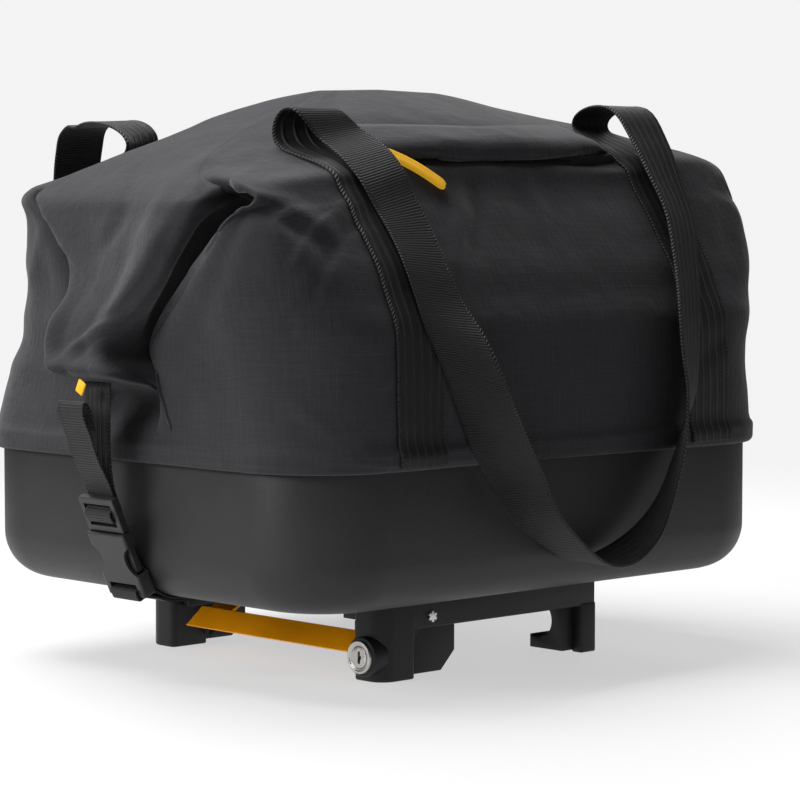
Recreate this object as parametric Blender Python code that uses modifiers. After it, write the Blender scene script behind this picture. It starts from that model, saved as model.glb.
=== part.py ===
"""Bicycle rack bag: a moulded tub with a fabric dome, two long webbing handles and folded
ends that buckle down, carried by a click-on rack adapter with a release lever and a lock.

The origin is on the floor under the middle of the bag. +X runs along the bag, away from
the lock, the zip faces -Y and +Z is up. Lengths are in metres.
"""
import math
from collections import namedtuple

import bmesh
import bpy
from mathutils import Matrix, Vector
from mathutils.bvhtree import BVHTree

NAME = "bicycle_rack_bag"

# Moulded tub
RIM_HALF_LENGTH = 0.210
RIM_HALF_WIDTH = 0.1717
CORNER_RADIUS = 0.061
SEAM_HEIGHT = 0.1374
TUB_BOTTOM = 0.052
TUB_WALL = 0.003
TUB_EDGE_RADIUS = 0.030
TUB_LIP = 0.012

# Fabric body
CROWN_HEIGHT = 0.3705
FABRIC = 0.002
RIM_CLEARANCE = 0.0016
POCKET_DEPTH = 0.055
TUCK_DEPTH = 0.013
FLAP_BULGE = 0.003
FRONT_STATIONS = 11
BACK_STATIONS = 10
STRIP_STEPS = 12

# Zip
ZIP_END_CLEARANCE = 0.002
ZIP_WIDTH = 0.008
ZIP_BELOW_CROWN = 0.0485
PLACKET_WIDTH = 0.020
ZIP_RISE = 0.0009
ZIP_TAPE = 0.001
SLIDER = (0.011, 0.009, 0.004)
SLIDER_PLACE = 0.018
PULL_LENGTH = 0.046
PULL_WIDTH = 0.009
PULL_THICKNESS = 0.0035
PULL_CLEARANCE = 0.0016
PULL_DROP = 0.016

# Webbing
HANDLE_WIDTH = 0.038
HANDLE_SPREAD = 0.130
SEWN_TOP = 0.87
WEBBING = 0.0018
SEWN_RISE = 0.0005
SEWN_SLACK = 0.0017
SEWN_TIGHT_RUN = 0.060
SEWN_START = 0.006
END_WEBBING_WIDTH = 0.025
END_WEBBING = 0.0014

# Side-release buckle
BUCKLE_WIDTH = 0.036
BUCKLE_DEPTH = 0.0095
BUCKLE_STANDOFF = 0.0245
BUCKLE_TOP = 0.1165
BUCKLE_LEAN = 24.0
FRAME_LENGTH = 0.023
FRAME_DEPTH = 0.005
SOCKET_LENGTH = 0.044
BUCKLE_BAR = 0.004
BUCKLE_WALL = 0.002
PRONG_WIDTH = 0.005
WINDOW_RADIUS = 0.0105
ANCHOR_LENGTH = 0.018

# Rack adapter
RAIL_START = -0.098
RAIL_END = 0.090
RAIL_INNER = 0.0886
RAIL_WIDTH = 0.0261
RAIL_UNDERSIDE = 0.031
RAIL_TOE = 0.004
LEVER_LEG = 0.023
JAW_LEG = 0.027
JAW_REACH = 0.028
JAW_HEIGHT = 0.022
RACK_TUBE_RADIUS = 0.0085
LEVER_PIVOT = (-0.061, 0.038)
PIN_RADIUS = 0.0035
HOOK_THICKNESS = 0.007
HOOK_LOW = 0.005
HOOK_LENGTH = 0.019
HOOK_BACK = 0.0055
ARM_RISE = 0.018
LEVER_TOP = (-0.099, 0.0335)
LEVER_LOW = (-0.1155, 0.0165)
LEVER_THICKNESS = 0.003
LOCK_PLACE = (-0.102, 0.016)
LOCK_BOSS_RADIUS = 0.0125
LOCK_BOSS_LENGTH = 0.007
LOCK_RADIUS = 0.0102
LOCK_LENGTH = 0.0065
LOCK_FLOOR = 0.002
PLUG_RADIUS = 0.0068
KEYWAY = (0.0024, 0.0075, 0.004)

GAP = 0.0003
EDGE = 0.0012

# One row for each level of the fabric body, from the seam to the crown. Height is a share
# of the rise from the seam to the crown. Lengths and widths are shares of the fabric's half
# sizes at the rim, corners are shares of its corner radius, and dome says how far a corner
# grows into an ellipse. The four places across the end are shares of the half width: the
# front panel's fold, the end flap's two edges and the back panel's fold. Pocket and tuck
# are shares of their depths. The reach of the flap's edges is a share of the half length.
Level = namedtuple("Level", "height front_length back_length width front_corner back_corner"
                   " dome power front_fold front_edge back_edge back_fold pocket tuck"
                   " front_reach back_reach")
LEVELS = [
    Level(0.000, 1.00, 1.00, 1.00, 1.0, 1.00, 0.00, 2.0, -.35, -.20, .20, .35, 0, 0, 0, 0),
    Level(0.062, 1.00, 1.00, 1.00, 1.0, 1.00, 0.00, 2.0, -.30, -.18, .18, .30, 0, 0, 0, 0),
    Level(0.200, 1.00, 0.98, 1.00, 1.05, 1.15, 0.00, 2.0, -.20, -.17, .16, .20, 0, 0, 0, 0),
    Level(0.226, 1.00, 0.98, 1.00, 1.05, 1.20, 0.00, 2.0, -.19, -.17, .16, .20, .05, .1, 1.125, 1.125),
    Level(0.294, 1.02, 0.96, 0.995, 1.05, 1.40, 0.00, 2.0, -.11, -.03, .28, .33, .25, .6, 1.12, 1.115),
    Level(0.367, 1.05, 0.955, 0.985, 1.0, 1.45, 0.00, 2.0, -.20, .05, .26, .31, .50, .9, 1.105, 1.09),
    Level(0.440, 1.07, 0.955, 0.94, 0.9, 1.40, 0.00, 2.0, -.32, .06, .24, .30, .75, 1.0, 1.09, 1.045),
    Level(0.509, 1.075, 0.965, 0.90, 0.7, 1.25, 0.00, 2.0, -.45, -.01, .28, .335, .95, 1.0, 1.08, 1.01),
    Level(0.573, 1.07, 0.97, 0.84, 0.5, 1.10, 0.00, 2.0, -.58, -.13, .34, .39, 1.0, 1.0, 1.075, 0.99),
    Level(0.638, 1.05, 0.97, 0.78, 0.35, 0.80, 0.00, 2.0, -.66, -.28, .43, .475, .85, 1.0, 1.07, 0.98),
    Level(0.689, 0.99, 0.965, 0.72, 0.25, 0.40, 0.00, 2.0, -.65, -.43, .52, .56, .50, .5, 1.07, 0.975),
    Level(0.723, 1.05, 0.955, 0.70, 0.25, 0.30, 0.05, 2.0, -.58, -.40, .48, .56, 0, 0, 0, 0),
    Level(0.762, 1.00, 0.95, 0.685, 0.4, 0.40, 0.45, 2.0, -.50, -.34, .36, .50, 0, 0, 0, 0),
    Level(0.805, 0.95, 0.94, 0.66, 0.5, 0.50, 0.75, 1.85, -.40, -.26, .26, .40, 0, 0, 0, 0),
    Level(0.848, 0.88, 0.86, 0.60, 0.5, 0.50, 0.88, 1.85, -.33, -.20, .20, .33, 0, 0, 0, 0),
    Level(0.895, 0.77, 0.75, 0.53, 0.5, 0.50, 0.90, 1.90, -.27, -.16, .16, .27, 0, 0, 0, 0),
    Level(0.942, 0.60, 0.59, 0.37, 0.4, 0.40, 0.90, 2.0, -.18, -.10, .10, .18, 0, 0, 0, 0),
    Level(0.976, 0.38, 0.38, 0.23, 0.3, 0.30, 0.90, 2.0, -.10, -.06, .06, .10, 0, 0, 0, 0),
    Level(1.000, 0.13, 0.13, 0.06, 0.1, 0.10, 0.90, 2.0, -.02, -.01, .01, .02, 0, 0, 0, 0),
]

# One row for each bend of the hanging handle, from its left curl to its right one. Along
# is a share of the handles' spread, out a share of the rim's half width and height a share
# of the crown's height. The three turns give the direction across the webbing.
Hang = namedtuple("Hang", "along out height turn_x turn_y turn_z")
HANDLE_HANG = [
    Hang(-1.015, 0.500, 0.950, 1.00, 0.00, 0.00),
    Hang(-0.930, 0.555, 0.912, 0.98, 0.05, 0.15),
    Hang(-0.914, 0.684, 0.875, 0.95, 0.04, 0.20),
    Hang(-0.900, 0.756, 0.840, 0.93, 0.08, 0.22),
    Hang(-0.870, 0.795, 0.799, 0.95, 0.12, 0.20),
    Hang(-0.860, 0.855, 0.758, 0.97, 0.08, 0.05),
    Hang(-0.870, 0.960, 0.688, 0.98, 0.02, -0.10),
    Hang(-0.855, 1.005, 0.642, 0.97, -0.05, -0.10),
    Hang(-0.835, 1.075, 0.586, 0.90, -0.38, -0.10),
    Hang(-0.765, 1.126, 0.507, 0.68, -0.68, -0.20),
    Hang(-0.700, 1.130, 0.459, 0.52, -0.84, -0.05),
    Hang(-0.620, 1.138, 0.399, 0.40, -0.90, 0.10),
    Hang(-0.510, 1.126, 0.351, 0.30, -0.94, 0.10),
    Hang(-0.395, 1.126, 0.291, 0.10, -0.98, 0.15),
    Hang(-0.235, 1.126, 0.245, -0.10, -0.97, 0.15),
    Hang(0.030, 1.123, 0.198, -0.25, -0.95, 0.00),
    Hang(0.175, 1.120, 0.202, -0.42, -0.88, -0.18),
    Hang(0.340, 1.120, 0.222, -0.55, -0.72, -0.40),
    Hang(0.490, 1.120, 0.262, -0.58, -0.64, -0.50),
    Hang(0.610, 1.120, 0.337, -0.66, -0.69, -0.30),
    Hang(0.690, 1.120, 0.415, -0.73, -0.68, 0.00),
    Hang(0.740, 1.113, 0.480, -0.84, -0.54, 0.07),
    Hang(0.765, 1.090, 0.540, -0.90, -0.43, 0.05),
    Hang(0.800, 1.062, 0.603, -0.93, -0.36, 0.03),
    Hang(0.910, 0.970, 0.697, -0.95, -0.30, 0.00),
    Hang(0.990, 0.880, 0.772, -0.97, -0.18, 0.20),
    Hang(0.990, 0.805, 0.832, -0.97, -0.06, 0.20),
    Hang(1.005, 0.715, 0.894, -1.00, 0.00, 0.08),
    Hang(1.005, 0.610, 0.948, -1.00, 0.00, 0.00),
]

# One row for each bend of an end strap, from the flap's tip round the buckle's bar to the
# folded end of its tail. Both lengths are measured from the middle of the buckle's top, one
# out of the buckle's plane and one up along it.
Bend = namedtuple("Bend", "out up")
END_STRAP = [
    Bend(-0.0296, 0.0638),
    Bend(-0.0182, 0.0396),
    Bend(-0.0108, 0.0220),
    Bend(-0.0066, 0.0090),
    Bend(-0.0053, 0.0020),
    Bend(-0.0052, -0.0050),
    Bend(-0.0050, -0.0110),
    Bend(-0.0040, -0.0150),
    Bend(-0.0008, -0.0166),
    Bend(0.0028, -0.0156),
    Bend(0.0040, -0.0120),
    Bend(0.0037, -0.0092),
    Bend(0.0008, -0.0070),
    Bend(-0.0024, -0.0054),
    Bend(-0.0035, -0.0030),
    Bend(-0.0035, 0.0012),
    Bend(-0.0036, 0.0060),
    Bend(-0.0030, 0.0140),
    Bend(-0.0022, 0.0240),
    Bend(-0.0030, 0.0400),
    Bend(-0.0050, 0.0590),
    Bend(-0.0070, 0.0612),
    Bend(-0.0085, 0.0590),
    Bend(-0.0078, 0.0480),
    Bend(-0.0072, 0.0420),
]

FABRIC_LENGTH = RIM_HALF_LENGTH + RIM_CLEARANCE + FABRIC
FABRIC_WIDTH = RIM_HALF_WIDTH + RIM_CLEARANCE + FABRIC
FABRIC_CORNER = CORNER_RADIUS + RIM_CLEARANCE + FABRIC


def clear_scene():
    """Removes every object, mesh, curve, material and collection of the start scene."""
    for item in list(bpy.data.objects):
        bpy.data.objects.remove(item, do_unlink=True)
    for store in (bpy.data.meshes, bpy.data.curves, bpy.data.materials, bpy.data.collections):
        for item in list(store):
            store.remove(item)


def new_collection(name):
    """A collection linked to the scene."""
    collection = bpy.data.collections.new(name)
    bpy.context.scene.collection.children.link(collection)
    return collection


def finish_of(name, colour, roughness, metallic):
    """A material of one colour for one sub-part."""
    material = bpy.data.materials.new(name)
    material.use_nodes = True
    shader = material.node_tree.nodes["Principled BSDF"]
    shader.inputs["Base Color"].default_value = (*colour, 1.0)
    shader.inputs["Roughness"].default_value = roughness
    shader.inputs["Metallic"].default_value = metallic
    return material


FINISHES = {
    "fabric": ((0.030, 0.029, 0.033), 0.85, 0.0),
    "webbing": ((0.014, 0.014, 0.016), 0.55, 0.0),
    "tub": ((0.036, 0.036, 0.038), 0.50, 0.0),
    "buckle": ((0.022, 0.022, 0.024), 0.42, 0.0),
    "adapter": ((0.012, 0.012, 0.013), 0.50, 0.0),
    "orange": ((0.62, 0.22, 0.008), 0.40, 0.0),
    "steel": ((0.62, 0.61, 0.60), 0.28, 1.0),
}


def put(item, parts, finish=None):
    """Moves an object to a collection and gives it a material of its own."""
    for owner in list(item.users_collection):
        owner.objects.unlink(item)
    parts.objects.link(item)
    if finish:
        item.data.materials.clear()
        item.data.materials.append(finish_of(item.name, *FINISHES[finish]))
    return item


def from_bmesh(name, bm, parts, finish=None):
    """An object holding a bmesh, which is freed."""
    mesh = bpy.data.meshes.new(name)
    bm.to_mesh(mesh)
    bm.free()
    item = bpy.data.objects.new(name, mesh)
    parts.objects.link(item)
    if finish:
        mesh.materials.append(finish_of(name, *FINISHES[finish]))
    return item


def block(name, low, high, parts, finish=None):
    """A box between two opposite corners, given in any order."""
    size = [abs(b - a) for a, b in zip(low, high)]
    middle = [(a + b) / 2 for a, b in zip(low, high)]
    bpy.ops.mesh.primitive_cube_add(size=1.0, location=middle)
    item = bpy.context.object
    item.name = name
    for vertex in item.data.vertices:
        vertex.co = Vector(value * share for value, share in zip(vertex.co, size))
    return put(item, parts, finish)


def rod(name, radius, length, middle, axis, parts, finish=None, sides=24):
    """A cylinder about the X or the Y axis."""
    turn = (0.0, math.pi / 2, 0.0) if axis == "X" else (math.pi / 2, 0.0, 0.0)
    bpy.ops.mesh.primitive_cylinder_add(vertices=sides, radius=radius, depth=length,
                                        location=middle, rotation=turn)
    item = bpy.context.object
    item.name = name
    return put(item, parts, finish)


def outline(name, points, low, high, parts, finish=None):
    """A flat outline in X and Z, filled and drawn out between two places along Y."""
    curve = bpy.data.curves.new(name, "CURVE")
    curve.dimensions = "2D"
    curve.fill_mode = "BOTH"
    curve.extrude = abs(high - low) / 2
    spline = curve.splines.new("POLY")
    spline.points.add(len(points) - 1)
    for point, (across, up) in zip(spline.points, points):
        point.co = (across, up, 0.0, 1.0)
    spline.use_cyclic_u = True
    guide = bpy.data.objects.new(name + "_outline", curve)
    guide.location = (0.0, (low + high) / 2, 0.0)
    guide.rotation_euler = (math.pi / 2, 0.0, 0.0)
    parts.objects.link(guide)
    bpy.context.view_layer.update()
    seen = guide.evaluated_get(bpy.context.evaluated_depsgraph_get())
    mesh = bpy.data.meshes.new_from_object(seen)
    bm = bmesh.new()
    bm.from_mesh(mesh)
    bmesh.ops.remove_doubles(bm, verts=bm.verts, dist=0.00001)
    bmesh.ops.recalc_face_normals(bm, faces=bm.faces)
    bm.to_mesh(mesh)
    bm.free()
    item = bpy.data.objects.new(name, mesh)
    item.matrix_world = guide.matrix_world
    parts.objects.link(item)
    if finish:
        mesh.materials.clear()
        mesh.materials.append(finish_of(name, *FINISHES[finish]))
    bpy.data.objects.remove(guide, do_unlink=True)
    return item


def combine(item, tool, operation, cutters):
    """Adds a Boolean modifier with an object that moves to the cutters."""
    put(tool, cutters)
    tool.hide_render = True
    tool.display_type = "WIRE"
    modifier = item.modifiers.new(tool.name, "BOOLEAN")
    modifier.operation = operation
    modifier.solver = "EXACT"
    modifier.object = tool


def round_edges(item, width=EDGE, segments=2, angle=40.0):
    """Rounds an object's sharp edges."""
    modifier = item.modifiers.new("rounding", "BEVEL")
    modifier.width = width
    modifier.segments = segments
    modifier.limit_method = "ANGLE"
    modifier.angle_limit = math.radians(angle)
    modifier.harden_normals = False


def thicken(item, thickness, side):
    """Gives an open surface a thickness. Side -1 grows inwards, 0 both ways."""
    modifier = item.modifiers.new("thickness", "SOLIDIFY")
    modifier.thickness = thickness
    modifier.offset = side


def build_tub(parts):
    """The tub: a rounded open box whose lip stands up inside the fabric's hem."""
    bm = bmesh.new()
    bmesh.ops.create_cube(bm, size=1.0)
    top = SEAM_HEIGHT + TUB_LIP
    for vertex in bm.verts:
        vertex.co = Vector((math.copysign(RIM_HALF_LENGTH, vertex.co.x),
                            math.copysign(RIM_HALF_WIDTH, vertex.co.y),
                            top if vertex.co.z > 0 else TUB_BOTTOM))
    lid = [face for face in bm.faces if face.normal.z > 0.5]
    bmesh.ops.delete(bm, geom=lid, context="FACES_ONLY")
    upright = [edge for edge in bm.edges
               if abs(edge.verts[0].co.z - edge.verts[1].co.z) > EDGE]
    bmesh.ops.bevel(bm, geom=upright, offset=CORNER_RADIUS, segments=8, profile=0.5,
                    affect="EDGES")
    low = [edge for edge in bm.edges
           if all(abs(vertex.co.z - TUB_BOTTOM) < 0.00001 for vertex in edge.verts)]
    bmesh.ops.bevel(bm, geom=low, offset=TUB_EDGE_RADIUS, segments=5, profile=0.5,
                    affect="EDGES")
    tub = from_bmesh("base_tub", bm, parts, "tub")
    thicken(tub, TUB_WALL, -1)
    return tub


def corner_points(length, width, reach_x, reach_y, power, count=24):
    """Points round one corner of a level, from its side to its end, for a quarter turn."""
    points = []
    for step in range(count + 1):
        turn = math.pi / 2 * step / count
        points.append((length - reach_x + reach_x * math.sin(turn) ** (2 / power),
                       width - reach_y + reach_y * math.cos(turn) ** (2 / power)))
    return points


def level_outline(level):
    """The plain outline of one level's left half, from the front middle to the back."""
    width = level.width * FABRIC_WIDTH
    reach = []
    for share, corner in ((level.front_length, level.front_corner),
                          (level.back_length, level.back_corner)):
        length = share * FABRIC_LENGTH
        round_x = (1 - level.dome) * corner * FABRIC_CORNER + level.dome * length
        round_y = (1 - level.dome) * corner * FABRIC_CORNER + level.dome * width
        reach.append(corner_points(length, width, round_x, round_y, level.power))
    front = [(-x, -y) for x, y in reach[0]]
    back = [(-x, y) for x, y in reversed(reach[1])]
    return [(0.0, -width)] + front + back + [(0.0, width)]


def spread(points, count):
    """Points spaced along a run by its length and by how much it turns."""
    turn_share = 0.07
    marks = [0.0]
    for index in range(1, len(points)):
        here, before = Vector(points[index]), Vector(points[index - 1])
        turn = 0.0
        if index + 1 < len(points):
            after = Vector(points[index + 1])
            if (here - before).length > 1e-7 and (after - here).length > 1e-7:
                turn = abs((here - before).angle_signed(after - here))
        marks.append(marks[-1] + (here - before).length + turn_share * turn)
    chosen = []
    place = 1
    for step in range(count):
        target = marks[-1] * step / (count - 1)
        while place < len(marks) - 1 and marks[place] < target:
            place += 1
        share = (target - marks[place - 1]) / max(marks[place] - marks[place - 1], 1e-9)
        chosen.append(Vector(points[place - 1]).lerp(Vector(points[place]), min(share, 1.0)))
    return chosen


def across_at(outline_points, y):
    """X of the outline's end where it passes a given Y."""
    for before, after in zip(outline_points, outline_points[1:]):
        if before[1] <= y <= after[1] and after[1] > before[1]:
            share = (y - before[1]) / (after[1] - before[1])
            return before[0] + share * (after[0] - before[0])
    return outline_points[-1][0]


def mix(low, high, share):
    """The value a share of the way from low to high."""
    return low + (high - low) * share


def level_points(level):
    """One level's left half with its pocket, end flap and tuck, as plan points."""
    plain = level_outline(level)
    front_fold, front_edge, back_edge, back_fold = (
        share * FABRIC_WIDTH for share in (level.front_fold, level.front_edge,
                                           level.back_edge, level.back_fold))

    def flap_at(share):
        y = mix(front_edge, back_edge, share)
        reach = mix(level.front_reach, level.back_reach, share) * FABRIC_LENGTH
        if reach:
            reach += FLAP_BULGE * math.sin(math.pi * share)
        return Vector((min(across_at(plain, y), -reach), y))

    def pocket_at(share, depth):
        y = mix(front_fold, front_edge, share)
        return Vector((across_at(plain, y) + depth * level.pocket * POCKET_DEPTH, y))

    front = [point for point in plain if point[1] < front_fold]
    front.append((across_at(plain, front_fold), front_fold))
    back = [(across_at(plain, back_fold), back_fold)]
    back += [point for point in plain if point[1] > back_fold]
    tuck_y = mix(back_edge, back_fold, 0.5)
    tuck = Vector((across_at(plain, tuck_y) + level.tuck * TUCK_DEPTH, tuck_y))
    end = [pocket_at(0.18, 0.72), pocket_at(0.5, 1.0),
           pocket_at(0.85, 1.0).lerp(flap_at(0.0), 0.35),
           flap_at(0.0), flap_at(0.33), flap_at(0.67), flap_at(1.0), tuck]
    return spread(front, FRONT_STATIONS) + end + spread(back, BACK_STATIONS)


def build_body(parts):
    """The fabric body: a shell lofted through the levels, one half mirrored."""
    rise = CROWN_HEIGHT - SEAM_HEIGHT
    bm = bmesh.new()
    rows = []
    for level in LEVELS:
        height = SEAM_HEIGHT + level.height * rise
        rows.append([bm.verts.new((point.x, point.y, height)) for point in level_points(level)])
    for row in rows:
        row[0].co.x = 0.0
        row[-1].co.x = 0.0
    for below, above in zip(rows, rows[1:]):
        for index in range(len(below) - 1):
            bm.faces.new((below[index + 1], below[index], above[index], above[index + 1]))
    bm.faces.new(list(reversed(rows[-1])))
    body = from_bmesh("bag_body", bm, parts, "fabric")
    mirror = body.modifiers.new("other_half", "MIRROR")
    mirror.merge_threshold = 0.00005
    thicken(body, FABRIC, -1)
    bpy.context.view_layer.update()
    return body


def skin_of(body):
    """A tree of the fabric's surface to lay other pieces on."""
    return BVHTree.FromObject(body, bpy.context.evaluated_depsgraph_get())


def on_skin(skin, x, angle, rise):
    """A point above the fabric, seen from the bag's middle at an angle over the front."""
    middle = Vector((x, 0.0, (SEAM_HEIGHT + CROWN_HEIGHT) / 2))
    outward = Vector((0.0, -math.cos(angle), math.sin(angle)))
    spot, normal, _, _ = skin.ray_cast(middle + outward * CROWN_HEIGHT, -outward)
    if normal.dot(outward) < 0:
        normal = -normal
    return spot + normal * rise


def angle_at(skin, x, height):
    """The angle over the front at which the fabric stands at a given height."""
    middle_height = (SEAM_HEIGHT + CROWN_HEIGHT) / 2
    low = math.atan2(SEAM_HEIGHT + SEWN_START / 2 - middle_height, FABRIC_WIDTH)
    high = math.radians(88)
    for _ in range(30):
        middle = (low + high) / 2
        if on_skin(skin, x, middle, 0.0).z < height:
            low = middle
        else:
            high = middle
    return low


def ribbon(name, rows, thickness, parts, finish, side=0):
    """A band through rows of points, thickened."""
    bm = bmesh.new()
    grid = [[bm.verts.new(point) for point in row] for row in rows]
    for before, after in zip(grid, grid[1:]):
        for index in range(len(before) - 1):
            bm.faces.new((before[index], before[index + 1], after[index + 1], after[index]))
    item = from_bmesh(name, bm, parts, finish)
    thicken(item, thickness, side)
    return item


def smooth_run(points, steps):
    """Points on a smooth curve through all the given ones."""
    run = []
    for index in range(len(points) - 1):
        a = points[max(index - 1, 0)]
        b, c = points[index], points[index + 1]
        d = points[min(index + 2, len(points) - 1)]
        for step in range(steps):
            t = step / steps
            run.append(0.5 * (2 * b + (c - a) * t + (2 * a - 5 * b + 4 * c - d) * t * t
                              + (3 * b - a - 3 * c + d) * t ** 3))
    run.append(points[-1])
    return run


def sewn_rows(skin, x, width):
    """Rows of a handle's sewn end, from the seam up to the dome."""
    heights = [SEAM_HEIGHT + SEWN_START]
    for below, above in zip(LEVELS, LEVELS[1:]):
        if above.height <= SEWN_TOP:
            middle = mix(below.height, above.height, 0.5)
            heights += [mix(SEAM_HEIGHT, CROWN_HEIGHT, share) for share in (middle, above.height)]
    rows = []
    for height in heights:
        loose = min((height - heights[0]) / SEWN_TIGHT_RUN, 1.0)
        rise = WEBBING / 2 + SEWN_RISE + SEWN_SLACK * loose
        row = []
        for place in (x - width / 2, x, x + width / 2):
            row.append(on_skin(skin, place, angle_at(skin, place, height), rise))
        rows.append(row)
    return rows


def curl_rows(sewn, free):
    """Rows of the half turn between a sewn end and the hanging part."""
    rows = []
    start, end = sewn[-1][1], free[0][1]
    ahead = (sewn[-1][1] - sewn[-2][1]).normalized()
    radius = (end - start).length / 2
    for step in range(1, 6):
        turn = math.pi * step / 6
        share = (1 - math.cos(turn)) / 2
        lift = ahead * radius * math.sin(turn)
        rows.append([a.lerp(b, share) + lift for a, b in zip(sewn[-1], free[0])])
    return rows


def build_handle(skin, name, side, parts):
    """One handle in one length of webbing: sewn up the bag, curled over and hanging free."""
    centres = []
    turns = []
    for hang in HANDLE_HANG:
        centres.append(Vector((hang.along * HANDLE_SPREAD, -hang.out * RIM_HALF_WIDTH,
                               hang.height * CROWN_HEIGHT)))
        turns.append(Vector((hang.turn_x, hang.turn_y, hang.turn_z)))
    free = []
    for centre, turn in zip(centres, turns):
        reach = turn.normalized() * HANDLE_WIDTH / 2
        free.append([centre - reach, centre, centre + reach])
    left = sewn_rows(skin, -HANDLE_SPREAD, HANDLE_WIDTH)
    right = [list(reversed(row)) for row in sewn_rows(skin, HANDLE_SPREAD, HANDLE_WIDTH)]
    rows = left + curl_rows(left, free) + free
    rows += list(reversed(curl_rows(right, list(reversed(free))))) + list(reversed(right))
    if side > 0:
        rows = [[Vector((point.x, -point.y, point.z)) for point in row] for row in rows]
    return ribbon(name, rows, WEBBING, parts, "webbing")


def strip(skin, name, reach, heights, thickness, finish, parts):
    """A band lying along the fabric's front between two heights."""
    rows = []
    for step in range(STRIP_STEPS + 1):
        x = mix(-reach, reach, step / STRIP_STEPS)
        low, high = (angle_at(skin, x, height) for height in heights)
        rows.append([on_skin(skin, x, mix(low, high, share), ZIP_RISE + thickness / 2)
                     for share in (0.0, 0.5, 1.0)])
    return ribbon(name, rows, thickness, parts, finish)


def build_zip(skin, parts):
    """The zip with its cover strip above, its slider and its folded pull."""
    reach = HANDLE_SPREAD - HANDLE_WIDTH / 2 - ZIP_END_CLEARANCE
    height = CROWN_HEIGHT - ZIP_BELOW_CROWN
    low, high = height - ZIP_WIDTH / 2, height + ZIP_WIDTH / 2
    strip(skin, "zip_tape", reach, (low, high), ZIP_TAPE, "webbing", parts)
    strip(skin, "zip_placket", reach, (high + 2 * GAP, high + PLACKET_WIDTH), FABRIC,
          "fabric", parts)
    x = -reach + SLIDER_PLACE
    angle = angle_at(skin, x, height)
    seat = on_skin(skin, x, angle, ZIP_RISE + ZIP_TAPE + 2 * GAP)
    outward = (seat - on_skin(skin, x, angle, 0.0)).normalized()
    tilt = math.atan2(outward.z, -outward.y)
    slider = block("zip_slider", [-SLIDER[0] / 2, -SLIDER[2] / 2, -SLIDER[1] / 2],
                   [SLIDER[0] / 2, SLIDER[2] / 2, SLIDER[1] / 2], parts, "steel")
    slider.location = seat + outward * SLIDER[2] / 2
    slider.rotation_euler = (-tilt, 0.0, 0.0)
    round_edges(slider)
    start = seat + outward * (SLIDER[2] + PULL_THICKNESS / 2 + PULL_CLEARANCE)
    far = x + PULL_LENGTH
    end = on_skin(skin, far, angle_at(skin, far, height - PULL_DROP),
                  PULL_THICKNESS / 2 + ZIP_RISE + ZIP_TAPE + PULL_CLEARANCE)
    along = (end - start).normalized()
    side = along.cross(outward).normalized()
    pull = block("zip_pull", [-PULL_LENGTH / 2, -PULL_WIDTH / 2, -PULL_THICKNESS / 2],
                 [PULL_LENGTH / 2, PULL_WIDTH / 2, PULL_THICKNESS / 2], parts, "orange")
    frame = Matrix((along, side, side.cross(-along))).transposed().to_4x4()
    pull.matrix_world = Matrix.Translation(start + along * PULL_LENGTH * 0.36) @ frame
    round_edges(pull)


def buckle_guide(label, side):
    """An empty at the middle of a buckle's top, leaning with the buckle."""
    guide = bpy.data.objects.new(f"buckle_place_{label}", None)
    guide.location = (side * (RIM_HALF_LENGTH + BUCKLE_STANDOFF), 0.0, BUCKLE_TOP)
    guide.rotation_euler = (0.0, side * math.radians(BUCKLE_LEAN), 0.0)
    bpy.context.scene.collection.objects.link(guide)
    bpy.context.view_layer.update()
    return guide


def band(name, side, guide, path, parts):
    """End webbing along a path of distances out of and up along the buckle's plane."""
    rows = []
    for point in smooth_run([Vector((side * out, 0.0, up)) for out, up in path], 2):
        reach = Vector((0.0, END_WEBBING_WIDTH / 2, 0.0))
        rows.append([guide.matrix_world @ (point - reach), guide.matrix_world @ (point + reach)])
    return ribbon(name, rows, END_WEBBING, parts, "webbing")


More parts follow.
